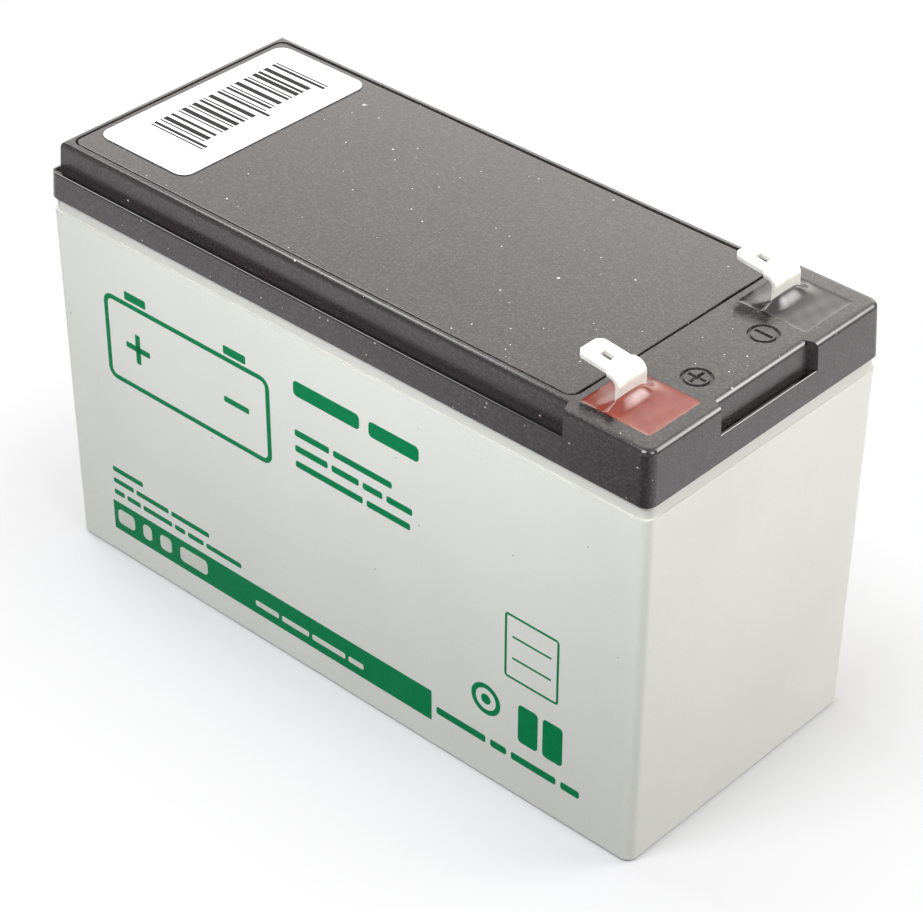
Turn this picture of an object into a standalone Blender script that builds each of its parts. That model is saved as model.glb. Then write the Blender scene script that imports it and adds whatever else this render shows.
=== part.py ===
"""Sealed lead acid battery, a 12 V block of about 9 Ah with two push-on tabs on one end of its lid.

Frame: metres, +Z up, origin at the middle of the bottom face, +X towards the terminal end,
-Y towards the broad printed side.
The six cells stand two by three. The chain of cells starts at the positive tab, runs along the
-Y row to the far end, crosses over and comes back along the +Y row to the negative tab.
"""

import math

import bmesh
import bpy
from mathutils import Matrix

MM = 0.001

# Running gap between pieces that seat on each other, and the smaller one at a weld.
GAP = 0.3 * MM
WELD_GAP = 0.1 * MM

# How far a cutter runs past the face that it cuts, and how deep a joined shape is set in.
OVERCUT = 5.0 * MM
SET_IN = 1.0 * MM

# Outside of the block.
LENGTH = 151.0 * MM
WIDTH = 65.5 * MM
LID_TOP = 92.5 * MM
CORNER_R = 2.2 * MM

# Container.
WALL_INSET_TOP = 0.13 * MM
WALL_INSET_FOOT = 0.65 * MM
FOOT_EDGE = 0.8 * MM
FLOOR = 2.5 * MM
NECK_BAND = 2.5 * MM
NECK_STEP = 0.35 * MM
TONGUE_THICK = 1.4 * MM
TONGUE_HEIGHT = 2.3 * MM
PARTITION = 1.6 * MM
COLUMNS = 3
LINK_HOLE_R = 3.0 * MM

# Lid.
LID_HEIGHT = 11.2 * MM
SKIRT_HEIGHT = 5.5 * MM
SKIRT_THICK = 1.2 * MM
LID_DRAFT = 0.45 * MM
DECK_THICK = 1.8 * MM
TOP_EDGE = 1.15 * MM
LIP_EDGE = 0.4 * MM
SIDE_STEP = 2.35 * MM
LEFT_STEP = 0.9 * MM
NOTCH_STEP = 1.75 * MM
NOTCH_FROM_WELL = 1.8 * MM
LIP_THICK = 1.2 * MM
NOTCH_LIP_THICK = 0.8 * MM
GROOVE_FLOOR_THICK = 0.8 * MM
BLOCK_FROM_WELL = 0.9 * MM
END_SLANT = 0.4

# Terminal wells, posts and their seals.
WELL_END_WALL = 4.0 * MM
WELL_SIDE_WALL = 4.45 * MM
WELL_LENGTH = 15.3 * MM
WELL_WIDTH = 13.8 * MM
WELL_FLOOR_THICK = 2.0 * MM
WELL_R = 0.6 * MM
POST_R = 3.6 * MM
POST_STAND = 2.1 * MM
POST_SLOT = 2.0 * MM
POST_SLOT_DEPTH = 2.0 * MM
FLANGE_R = 5.4 * MM
FLANGE_THICK = 1.7 * MM
RING_SECTION_R = 0.85 * MM
SEAT_DEPTH = 1.9 * MM
EPOXY_SINK = 0.1 * MM
HUMP_RISE = 1.8 * MM
HUMP_HALF_X = 2.6 * MM
HUMP_HALF_Y = 4.9 * MM

# Cover plate in its pocket; it lies a little towards the far end.
RIM = 1.4 * MM
COVER_GAP = 0.5 * MM
COVER_SHIFT = 0.15 * MM
COVER_FROM_WELL = 1.3 * MM
COVER_THICK = 1.5 * MM
COVER_SINK = 0.1 * MM
COVER_R = 2.2 * MM
LEDGE = 1.2 * MM

# Vent valves under the cover.
VENT_FROM_COVER_END = 14.9 * MM
VENT_BORE_R = 2.5 * MM
BOSS_R = 4.3 * MM
CAP_WALL = 1.1 * MM
CAP_TOP = 0.8 * MM
CAP_BEAD = 0.35 * MM

# Push-on tabs, 6.35 mm wide and 0.8 mm thick.
TAB_THICK = 0.8 * MM
TAB_STAND = 5.45 * MM
LEG_FROM_WELL_START = 5.8 * MM
BLADE_WIDTH = 6.35 * MM
BLADE_REACH = 8.2 * MM
BLADE_PITCH = math.radians(6.5)
BEND_R = 2.2 * MM
BEND_STEPS = 8
SHOULDER_WIDTH = 7.4 * MM
SHOULDER_START = 0.8 * MM
SHOULDER_SLOPE = 0.5 * MM
TIP_CHAMFER = 1.2 * MM
TAB_SLOT_LENGTH = 2.3 * MM
TAB_SLOT_WIDTH = 1.25 * MM
TAB_SLOT_FROM_BEND = 3.85 * MM
TONGUE_WIDTH = 3.2 * MM
TONGUE_START = 0.8 * MM

# Polarity marks, sunk into the lid.
MARK_FROM_END = 9.3 * MM
MARK_FROM_WELL = 5.25 * MM
MARK_R = 3.0 * MM
MARK_LINE = 0.7 * MM
MARK_BAR = 3.9 * MM
MARK_DEPTH = 0.45 * MM

# Sticker on the cover.
LABEL_FROM_LEFT = 1.6 * MM
LABEL_FROM_FRONT = 4.8 * MM
LABEL_FROM_BACK = 1.5 * MM
LABEL_LENGTH = 24.2 * MM
LABEL_R = 2.6 * MM
LABEL_THICK = 0.2 * MM

# Plate groups; a cell takes as many positive plates as fit with mats of at least this thickness.
POSITIVE_THICK = 2.2 * MM
NEGATIVE_THICK = 1.5 * MM
MAT_LEAST = 0.75 * MM
MAT_RISE = 1.7 * MM
LUG_RISE = 4.2 * MM
LUG_WIDTH = 8.0 * MM
LUG_FROM_EDGE = 2.8 * MM
STRAP_THICK = 3.5 * MM
STRAP_OVERHANG = 4.0 * MM
WALL_CLEAR = 0.4 * MM
UPRIGHT_THICK = 2.2 * MM
UPRIGHT_WIDTH = 9.0 * MM
UPRIGHT_CLEAR = 1.4 * MM
ROUND_STEPS = 20

# Heights that follow from the ones above.
SKIRT_FOOT = LID_TOP - LID_HEIGHT
SKIRT_TOP = SKIRT_FOOT + SKIRT_HEIGHT
LEDGE_Z = SKIRT_FOOT - GAP
RIM_Z = LEDGE_Z + TONGUE_HEIGHT
DECK_Z = RIM_Z + GAP
DECK_TOP = DECK_Z + DECK_THICK
GROOVE_FLOOR = DECK_Z + GROOVE_FLOOR_THICK
COVER_TOP = LID_TOP - COVER_SINK
COVER_FOOT = COVER_TOP - COVER_THICK
LEDGE_TOP = COVER_FOOT - GAP
CAP_ROOF = COVER_FOOT - GAP - CAP_TOP
BOSS_TOP = CAP_ROOF - GAP
WELL_FLOOR = DECK_Z + SEAT_DEPTH + WELL_FLOOR_THICK
POST_TOP = WELL_FLOOR + POST_STAND
TONGUE_Z = LID_TOP - TONGUE_START
BEND_Z = LID_TOP + TAB_STAND - BEND_R
UPRIGHT_TOP = DECK_Z - UPRIGHT_CLEAR
LINK_Z = UPRIGHT_TOP - LINK_HOLE_R
STRAP_TOP = LINK_Z - LINK_HOLE_R + GAP
STRAP_Z = STRAP_TOP - STRAP_THICK
PLATE_TOP = STRAP_Z - LUG_RISE
PLATE_FOOT = FLOOR + GAP

# Places in plan that follow from the ones above.
HALF_L = LENGTH / 2
HALF_W = WIDTH / 2
TONGUE_INSET = SKIRT_THICK + GAP
CAVITY_X = HALF_L - TONGUE_INSET - TONGUE_THICK
CAVITY_Y = HALF_W - TONGUE_INSET - TONGUE_THICK
CELL_X = (2 * CAVITY_X - (COLUMNS - 1) * PARTITION) / COLUMNS
CELL_Y = (2 * CAVITY_Y - PARTITION) / 2
CELL_PITCH = CELL_X + PARTITION
ROW_Y = (CELL_Y + PARTITION) / 2
WELL_END = HALF_L - WELL_END_WALL
WELL_START = WELL_END - WELL_LENGTH
WELL_OUTER = HALF_W - WELL_SIDE_WALL
WELL_INNER = WELL_OUTER - WELL_WIDTH
POST_Y = (WELL_INNER + WELL_OUTER) / 2
LEG_X = WELL_START + LEG_FROM_WELL_START
BEND_X = LEG_X - BEND_R
POST_X = LEG_X - TAB_THICK / 2
MARK_X = HALF_L - MARK_FROM_END
MARK_Y = WELL_INNER - MARK_FROM_WELL
NOTCH_HALF = WELL_INNER - NOTCH_FROM_WELL
BLOCK_START = WELL_START - BLOCK_FROM_WELL
POCKET_X0 = -HALF_L + LEFT_STEP + LID_DRAFT + RIM
POCKET_X1 = WELL_START - COVER_FROM_WELL
POCKET_Y = HALF_W - SIDE_STEP - LID_DRAFT - RIM
COVER_X0 = POCKET_X0 + COVER_GAP - COVER_SHIFT
COVER_X1 = POCKET_X1 - COVER_GAP - COVER_SHIFT
COVER_Y = POCKET_Y - COVER_GAP
PLATE_ROOM = CELL_Y - 2 * WALL_CLEAR - NEGATIVE_THICK
POSITIVES = int(PLATE_ROOM / (POSITIVE_THICK + NEGATIVE_THICK + 2 * (MAT_LEAST + 2 * GAP)))
NEGATIVES = POSITIVES + 1
PLATE_PITCH = PLATE_ROOM / POSITIVES
MAT_THICK = (PLATE_PITCH - POSITIVE_THICK - NEGATIVE_THICK) / 2 - 2 * GAP
PLATE_WIDTH = CELL_X - 2 * (WALL_CLEAR + MAT_THICK + GAP)
LUG_OUTER = PLATE_WIDTH / 2 - LUG_FROM_EDGE
LUG_INNER = LUG_OUTER - LUG_WIDTH
LUG_CENTRE = (LUG_OUTER + LUG_INNER) / 2
STRAP_START = LUG_INNER - STRAP_OVERHANG
STRAP_END = CELL_X / 2 - WALL_CLEAR
STRAP_HALF = CELL_Y / 2 - WALL_CLEAR


# Scene, materials and small helpers.

def clear_scene():
    """Removes what the new file holds, so the script starts from nothing."""
    for obj in list(bpy.data.objects):
        bpy.data.objects.remove(obj, do_unlink=True)


def new_collection(name):
    """A collection linked to the scene."""
    collection = bpy.data.collections.new(name)
    bpy.context.scene.collection.children.link(collection)
    return collection


def make_material(name, colour, roughness, metallic=0.0):
    """A Principled BSDF material with one colour."""
    material = bpy.data.materials.new(name)
    material.use_nodes = True
    shader = material.node_tree.nodes["Principled BSDF"]
    shader.inputs["Base Color"].default_value = (*colour, 1.0)
    shader.inputs["Roughness"].default_value = roughness
    shader.inputs["Metallic"].default_value = metallic
    return material


def add_object(name, bm, collection, material=None):
    """Writes a bmesh to a new object with outward faces."""
    bmesh.ops.recalc_face_normals(bm, faces=bm.faces)
    if bm.calc_volume(signed=True) < 0:
        bmesh.ops.reverse_faces(bm, faces=bm.faces)
    mesh = bpy.data.meshes.new(name)
    bm.to_mesh(mesh)
    bm.free()
    obj = bpy.data.objects.new(name, mesh)
    collection.objects.link(obj)
    if material is None:
        obj.hide_render = True
        obj.display_type = "WIRE"
    else:
        mesh.materials.append(material)
    return obj


def add_cube(bm, low, high):
    """Adds one box between two corners and returns its vertices."""
    size = [high[i] - low[i] for i in range(3)]
    centre = [(high[i] + low[i]) / 2 for i in range(3)]
    place = Matrix.Translation(centre) @ Matrix.Diagonal((*size, 1.0))
    return bmesh.ops.create_cube(bm, size=1.0, matrix=place)["verts"]


def upright_edges(verts):
    """The edges of a box that run from its bottom to its top."""
    edges = {edge for vert in verts for edge in vert.link_edges}
    return [e for e in edges if abs(e.verts[0].co.z - e.verts[1].co.z) > 1e-6]


def box_mesh(low, high, corner=0.0, steps=4, inset_top=0.0):
    """A box with its upright corners rounded and, if asked, its top drawn in on all sides."""
    bm = bmesh.new()
    verts = add_cube(bm, low, high)
    if corner:
        bmesh.ops.bevel(bm, geom=upright_edges(verts), offset=corner, segments=steps, profile=0.5,
                        affect="EDGES")
    middle = [(low[i] + high[i]) / 2 for i in range(2)]
    half = [(high[i] - low[i]) / 2 for i in range(2)]
    for vert in bm.verts:
        if inset_top and vert.co.z > (low[2] + high[2]) / 2:
            for i in range(2):
                shrink = (half[i] - inset_top) / half[i]
                vert.co[i] = middle[i] + (vert.co[i] - middle[i]) * shrink
    return bm


def ring_edges(bm, z):
    """The edges that lie in one level plane."""
    return [e for e in bm.edges if all(abs(v.co.z - z) < 1e-6 for v in e.verts)]


def round_level(bm, z, radius, steps=3):
    """Rounds the edges of a level face."""
    bmesh.ops.bevel(bm, geom=ring_edges(bm, z), offset=radius, segments=steps, profile=0.5, affect="EDGES")


def add_cylinder(bm, centre, radius, length, axis="Z", steps=ROUND_STEPS):
    """Adds a closed cylinder by its middle point, along Z, X or Y."""
    turn = {"Z": Matrix.Identity(4), "X": Matrix.Rotation(math.pi / 2, 4, "Y"),
            "Y": Matrix.Rotation(math.pi / 2, 4, "X")}[axis]
    bmesh.ops.create_cone(bm, cap_ends=True, segments=steps, radius1=radius, radius2=radius, depth=length,
                          matrix=Matrix.Translation(centre) @ turn)


def outline_mesh(name, points, low, high, plane="XY"):
    """A flat outline, given in a plane, carried from low to high along that plane's normal."""
    curve = bpy.data.curves.new(name, "CURVE")
    curve.dimensions = "2D"
    curve.fill_mode = "BOTH"
    curve.extrude = (high - low) / 2
    spline = curve.splines.new("POLY")
    spline.points.add(len(points) - 1)
    for slot, (a, b) in zip(spline.points, points):
        slot.co = (a, b, 0.0, 1.0)
    spline.use_cyclic_u = True
    guide = bpy.data.objects.new(name, curve)
    bpy.context.scene.collection.objects.link(guide)
    evaluated = guide.evaluated_get(bpy.context.evaluated_depsgraph_get())
    mesh = bpy.data.meshes.new_from_object(evaluated)
    bm = bmesh.new()
    bm.from_mesh(mesh)
    bpy.data.meshes.remove(mesh)
    bpy.data.objects.remove(guide, do_unlink=True)
    bmesh.ops.remove_doubles(bm, verts=bm.verts, dist=1e-7)
    middle = (low + high) / 2
    for vert in bm.verts:
        a, b, c = vert.co
        vert.co = {"XY": (a, b, c + middle), "XZ": (a, c + middle, b), "YZ": (c + middle, a, b)}[plane]
    return bm


def thick_path(points, thickness):
    """The outline of a strip of even thickness along a path, with mitred corners."""
    sides = ([], [])
    for i, (x, y) in enumerate(points):
        normals = []
        for a, b in ((i - 1, i), (i, i + 1)):
            if 0 <= a and b < len(points):
                dx, dy = points[b][0] - points[a][0], points[b][1] - points[a][1]
                length = math.hypot(dx, dy)
                normals.append((-dy / length, dx / length))
        first, last = normals[0], normals[-1]
        scale = thickness / 2 / (1 + first[0] * last[0] + first[1] * last[1])
        step = ((first[0] + last[0]) * scale, (first[1] + last[1]) * scale)
        sides[0].append((x + step[0], y + step[1]))
        sides[1].append((x - step[0], y - step[1]))
    return sides[0] + sides[1][::-1]


def arc(centre, radius, start, end, steps):
    """Points on an arc from one angle to another."""
    angles = [start + (end - start) * i / steps for i in range(steps + 1)]
    return [(centre[0] + radius * math.cos(a), centre[1] + radius * math.sin(a)) for a in angles]


def boolean(target, operand, operation="DIFFERENCE"):
    """Cuts, joins or intersects with the EXACT solver."""
    modifier = target.modifiers.new(operand.name, "BOOLEAN")
    modifier.operation = operation
    modifier.solver = "EXACT"
    modifier.object = operand


def smooth(obj, angle=math.radians(35)):
    """Smooth shading with edges sharper than the angle kept."""
    obj.data.shade_smooth()
    obj.data.set_sharp_from_angle(angle=angle)


# Cells.

def cell_centre(index):
    """Middle of a cell in plan; cells 1 to 3 run from the terminal end on -Y, 4 to 6 come back on +Y."""
    row = -1 if index <= COLUMNS else 1
    step = index - 1 if row < 0 else 2 * COLUMNS - index
    return (COLUMNS - 1) / 2 * CELL_PITCH - step * CELL_PITCH, row * ROW_Y, row


def link_place(index):
    """Place of the link between a cell and the next one, and the axis that it runs along."""
    x, y, row = cell_centre(index)
    if index == COLUMNS:
        return (x - LUG_CENTRE, 0.0, LINK_Z), "Y"
    return (x + row * CELL_PITCH / 2, y, LINK_Z), "X"


# Container.

def build_container(parts, cutters, material):
    """The tub: a drawn box with a stepped neck, six cells and a hole for each link."""
    foot = [HALF_L - WALL_INSET_FOOT, HALF_W - WALL_INSET_FOOT]
    grow = WALL_INSET_FOOT - WALL_INSET_TOP
    neck_z = SKIRT_FOOT - NECK_BAND - GAP
    bm = box_mesh((-foot[0], -foot[1], 0.0), (foot[0], foot[1], neck_z), CORNER_R, inset_top=-grow)
    round_level(bm, 0.0, FOOT_EDGE, 2)
    tub = add_object("container", bm, parts, material)
    neck = [HALF_L - WALL_INSET_TOP - NECK_STEP, HALF_W - WALL_INSET_TOP - NECK_STEP]
    bm = box_mesh((-neck[0], -neck[1], neck_z - FLOOR), (neck[0], neck[1], LEDGE_Z), CORNER_R)
    boolean(tub, add_object("neck_band", bm, cutters), "UNION")
    tongue = [HALF_L - TONGUE_INSET, HALF_W - TONGUE_INSET]
    bm = box_mesh((-tongue[0], -tongue[1], LEDGE_Z - FLOOR), (tongue[0], tongue[1], RIM_Z),
                  CORNER_R - TONGUE_INSET / 2)
    boolean(tub, add_object("tongue", bm, cutters), "UNION")
    bm = bmesh.new()
    for index in range(1, 2 * COLUMNS + 1):
        x, y, _ = cell_centre(index)
        add_cube(bm, (x - CELL_X / 2, y - CELL_Y / 2, FLOOR), (x + CELL_X / 2, y + CELL_Y / 2, LID_TOP))
    boolean(tub, add_object("cell_cutter", bm, cutters))
    bm = bmesh.new()
    for index in range(1, 2 * COLUMNS):
        place, axis = link_place(index)
        add_cylinder(bm, place, LINK_HOLE_R, 2 * PARTITION, axis)
    boolean(tub, add_object("link_cutter", bm, cutters))
    smooth(tub)
    return tub


# Lid.

def side_outline(step, draft, edge, lip_edge):
    """Section of a recess outside the lid's upper wall: distance in from the outer face, and height."""
    out = -OVERCUT
    over = LID_TOP + OVERCUT
    wall = step + draft * (SKIRT_TOP - SKIRT_FOOT) / (LID_TOP - SKIRT_FOOT)
    skin = draft * (SKIRT_TOP - SKIRT_FOOT) / (LID_TOP - SKIRT_FOOT)
    points = [(out, over), (out, SKIRT_TOP - lip_edge), (skin, SKIRT_TOP - lip_edge)]
    points += [(skin + lip_edge - dx, SKIRT_TOP - lip_edge + dy)
               for dx, dy in arc((0.0, 0.0), lip_edge, 0.0, math.pi / 2, 3)[1:]]
    points.append((wall, SKIRT_TOP))
    points.append((step + draft, LID_TOP - edge))
    points += [(step + draft + edge - dx, LID_TOP - edge + dy)
               for dx, dy in arc((0.0, 0.0), edge, 0.0, math.pi / 2, 3)[1:]]
    points.append((step + draft + edge, over))
    return points


def slant_end(bm, axis, limit, outer, sign, inner_sign):
    """Shifts the verts past a limit so that a cutter's end stands at a slant to the outer face."""
    other = 1 - axis
    for vert in bm.verts:
        if sign * vert.co[axis] > limit - 1e-6:
            depth = outer - inner_sign * vert.co[other]
            vert.co[axis] -= sign * END_SLANT * (depth - SIDE_STEP)


def build_lid(parts, cutters, material):
    """The lid: a drawn cap with inset walls, grooves, a cover pocket, vent bosses and two wells."""
    bm = box_mesh((-HALF_L, -HALF_W, SKIRT_FOOT), (HALF_L, HALF_W, LID_TOP), CORNER_R, 4, LID_DRAFT)
    round_level(bm, LID_TOP, TOP_EDGE, 3)
    lid = add_object("lid", bm, parts, material)

    section = side_outline(SIDE_STEP, LID_DRAFT, TOP_EDGE, LIP_EDGE)
    for side, name in ((-1, "front"), (1, "back")):
        points = [(side * (HALF_W - d), z) for d, z in section]
        bm = outline_mesh(name, points, -HALF_L - OVERCUT, BLOCK_START, "YZ")
        slant_end(bm, 0, BLOCK_START, HALF_W, 1, side)
        boolean(lid, add_object(f"recess_{name}", bm, cutters))
        groove = [(side * (HALF_W - d), z) for d, z in
                  ((LIP_THICK, GROOVE_FLOOR), (SIDE_STEP, GROOVE_FLOOR),
                   (SIDE_STEP + GAP, SKIRT_TOP + GAP), (LIP_THICK, SKIRT_TOP + GAP))]
        bm = outline_mesh(name, groove, -HALF_L + LEFT_STEP, BLOCK_START - GAP, "YZ")
        boolean(lid, add_object(f"groove_{name}", bm, cutters))

    points = [(-HALF_L + d, z) for d, z in side_outline(LEFT_STEP, LID_DRAFT, TOP_EDGE, LIP_EDGE)]
    bm = outline_mesh("left", points, -HALF_W - OVERCUT, HALF_W + OVERCUT, "XZ")
    boolean(lid, add_object("recess_left", bm, cutters))

    points = [(HALF_L - d, z) for d, z in side_outline(NOTCH_STEP, LID_DRAFT, TOP_EDGE, LIP_EDGE)]
    bm = outline_mesh("notch", points, -NOTCH_HALF, NOTCH_HALF, "XZ")
    for sign in (-1, 1):
        slant_end(bm, 1, NOTCH_HALF, HALF_L, sign, 1)
    boolean(lid, add_object("recess_notch", bm, cutters))
    groove = [(HALF_L - d, z) for d, z in
              ((NOTCH_LIP_THICK, GROOVE_FLOOR), (NOTCH_STEP, GROOVE_FLOOR),
               (NOTCH_STEP + GAP, SKIRT_TOP + GAP), (NOTCH_LIP_THICK, SKIRT_TOP + GAP))]
    bm = outline_mesh("notch_groove", groove, -NOTCH_HALF + GAP, NOTCH_HALF - GAP, "XZ")
    boolean(lid, add_object("groove_notch", bm, cutters))

    hollow = [HALF_L - SKIRT_THICK, HALF_W - SKIRT_THICK]
    bm = box_mesh((-hollow[0], -hollow[1], SKIRT_FOOT - FLOOR), (hollow[0], hollow[1], DECK_Z),
                  CORNER_R - SKIRT_THICK / 2)
    boolean(lid, add_object("skirt_hollow", bm, cutters))

    bm = box_mesh((POCKET_X0, -POCKET_Y, LEDGE_TOP), (POCKET_X1, POCKET_Y, LID_TOP + OVERCUT), COVER_R)
    boolean(lid, add_object("cover_pocket", bm, cutters))
    bm = box_mesh((POCKET_X0 + LEDGE, -POCKET_Y + LEDGE, DECK_TOP),
                  (POCKET_X1 - LEDGE, POCKET_Y - LEDGE, LID_TOP), COVER_R - LEDGE / 2)
    boolean(lid, add_object("vent_pocket", bm, cutters))

    bm = bmesh.new()
    for x, y in vent_places():
        add_cylinder(bm, (x, y, (DECK_Z + BOSS_TOP) / 2), BOSS_R, BOSS_TOP - DECK_Z)
    boolean(lid, add_object("vent_bosses", bm, cutters), "UNION")
    bm = bmesh.new()
    for x, y in vent_places():
        add_cylinder(bm, (x, y, DECK_TOP), VENT_BORE_R, 4 * (BOSS_TOP - DECK_TOP))
    boolean(lid, add_object("vent_bores", bm, cutters))

    low = (POCKET_X1 + DECK_THICK, -WELL_INNER + DECK_THICK, DECK_Z - GAP)
    high = (WELL_END, WELL_INNER - DECK_THICK, LID_TOP - DECK_THICK - MARK_DEPTH)
    boolean(lid, add_object("terminal_hollow", box_mesh(low, high, WELL_R), cutters))

    for side, name in ((-1, "positive"), (1, "negative")):
        y0, y1 = sorted((side * WELL_INNER, side * WELL_OUTER))
        bm = box_mesh((WELL_START, y0, WELL_FLOOR), (WELL_END, y1, LID_TOP + OVERCUT), WELL_R, 2)
        boolean(lid, add_object(f"{name}_well", bm, cutters))
        bm = bmesh.new()
        add_cylinder(bm, (POST_X, side * POST_Y, WELL_FLOOR), POST_R + GAP, 3 * (WELL_FLOOR - DECK_Z))
        boolean(lid, add_object(f"{name}_post_hole", bm, cutters))
        bm = bmesh.new()
        add_cylinder(bm, (POST_X, side * POST_Y, DECK_Z), FLANGE_R + GAP, 2 * SEAT_DEPTH)
        boolean(lid, add_object(f"{name}_ring_seat", bm, cutters))
        build_mark(lid, cutters, side, name)
    smooth(lid)
    return lid


def build_mark(lid, cutters, side, name):
    """A sunk ring with a plus or a minus in it, beside the well that it belongs to."""
    low, high = LID_TOP - MARK_DEPTH, LID_TOP + OVERCUT
    centre = (MARK_X, side * MARK_Y, (low + high) / 2)
    bm = bmesh.new()
    add_cylinder(bm, centre, MARK_R, high - low, steps=28)
    ring = add_object(f"{name}_mark_ring", bm, cutters)
    bm = bmesh.new()
    add_cylinder(bm, centre, MARK_R - MARK_LINE, 2 * (high - low), steps=28)
    boolean(ring, add_object(f"{name}_mark_core", bm, cutters))
    boolean(lid, ring)
    half = (MARK_BAR / 2, MARK_LINE / 2)
    bars = [half] if side > 0 else [half, half[::-1]]
    for number, (a, b) in enumerate(bars):
        bm = box_mesh((centre[0] - a, centre[1] - b, low), (centre[0] + a, centre[1] + b, high))
        boolean(lid, add_object(f"{name}_mark_bar_{number}", bm, cutters))


def vent_places():
    """Plan places of the six vents, one over each cell."""
    first = -(COLUMNS - 1) / 2 * CELL_PITCH
    last = POCKET_X1 - VENT_FROM_COVER_END
    pitch = (last - first) / (COLUMNS - 1)
    return [(first + column * pitch, row * ROW_Y) for row in (-1, 1) for column in range(COLUMNS)]


def build_cover(parts, material):
    """The flat plate that closes the pocket over the valves."""
    bm = box_mesh((COVER_X0, -COVER_Y, COVER_FOOT), (COVER_X1, COVER_Y, COVER_TOP), COVER_R - COVER_GAP)
    round_level(bm, COVER_TOP, COVER_SINK, 1)
    cover = add_object("cover_plate", bm, parts, material)
    smooth(cover)


def build_valve(parts, material, number, place):
    """A rubber cap, turned: a closed cup with a bead at its mouth, pushed over its boss."""
    inner = BOSS_R + GAP
    outer = inner + CAP_WALL
    top = COVER_FOOT - GAP
    mouth = DECK_TOP + GAP
    chamfer = CAP_WALL / 2
    profile = [(0.0, top), (outer - chamfer, top), (outer, top - chamfer), (outer, mouth + 2 * CAP_WALL),
               (outer + CAP_BEAD, mouth + CAP_WALL), (outer + CAP_BEAD, mouth), (inner, mouth), (inner, CAP_ROOF),
               (0.0, CAP_ROOF)]
    mesh = bpy.data.meshes.new(f"valve_cap_{number}")
    mesh.from_pydata([(r, 0.0, z) for r, z in profile], [(i, i + 1) for i in range(len(profile) - 1)], [])
    cap = bpy.data.objects.new(mesh.name, mesh)
    parts.objects.link(cap)
    cap.location = (place[0], place[1], 0.0)
    screw = cap.modifiers.new("turned", "SCREW")
    screw.steps = ROUND_STEPS
    screw.render_steps = ROUND_STEPS
    screw.use_merge_vertices = True
    screw.merge_threshold = 0.00001
    mesh.materials.append(material)


def build_label(parts, material):
    """The paper sticker near the far end of the cover."""
    foot = COVER_TOP + WELD_GAP
    low = (COVER_X0 + LABEL_FROM_LEFT, -COVER_Y + LABEL_FROM_FRONT, foot)
    high = (low[0] + LABEL_LENGTH, COVER_Y - LABEL_FROM_BACK, foot + LABEL_THICK)
    bm = box_mesh(low, high, LABEL_R, 5)
    add_object("paper_sticker", bm, parts, material)


# Terminals.

def tab_path():
    """Middle line of the tab from its tip over the bend to the foot of its leg, as X and Z."""
    middle_r = BEND_R - TAB_THICK / 2
    start = math.pi / 2 - BLADE_PITCH
    bend = arc((BEND_X, BEND_Z), middle_r, start, 0.0, BEND_STEPS)
    tip = (bend[0][0] - BLADE_REACH * math.cos(BLADE_PITCH), bend[0][1] + BLADE_REACH * math.sin(BLADE_PITCH))
    return [tip, *bend, (POST_X, POST_TOP - POST_SLOT_DEPTH + GAP)]


def build_tab(parts, cutters, material, side, name):
    """A push-on tab: a pitched blade with a slot, a bend, and a leg that ends in a tongue."""
    y = side * POST_Y
    half = SHOULDER_WIDTH / 2
    bm = outline_mesh(name, thick_path(tab_path(), TAB_THICK), y - half, y + half, "XZ")
    tab = add_object(f"{name}_tab", bm, parts, material)
    tip = tab_path()[0][0]
    blade = BLADE_WIDTH / 2
    shoulder = BEND_X - SHOULDER_START
    for hand, label in ((-1, "near"), (1, "far")):
        points = [(tip - OVERCUT, blade - TIP_CHAMFER - OVERCUT), (tip + TIP_CHAMFER, blade),
                  (shoulder - SHOULDER_SLOPE, blade), (shoulder, half), (shoulder, half + OVERCUT),
                  (tip - OVERCUT, half + OVERCUT)]
        points = [(px, y + hand * py) for px, py in points]
        bm = outline_mesh(name, points, BEND_Z, BEND_Z + 2 * OVERCUT, "XY")
        boolean(tab, add_object(f"{name}_blade_{label}", bm, cutters))
        inner, outer = sorted((y + hand * TONGUE_WIDTH / 2, y + hand * (half + OVERCUT)))
        bm = box_mesh((POST_X - TAB_THICK, inner, DECK_Z), (POST_X + TAB_THICK, outer, TONGUE_Z))
        boolean(tab, add_object(f"{name}_tongue_{label}", bm, cutters))
    slot_x = BEND_X - TAB_SLOT_FROM_BEND
    low = (slot_x - TAB_SLOT_LENGTH / 2, y - TAB_SLOT_WIDTH / 2, BEND_Z)
    high = (slot_x + TAB_SLOT_LENGTH / 2, y + TAB_SLOT_WIDTH / 2, BEND_Z + 2 * OVERCUT)
    boolean(tab, add_object(f"{name}_slot", box_mesh(low, high), cutters))
    smooth(tab, math.radians(30))


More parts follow.
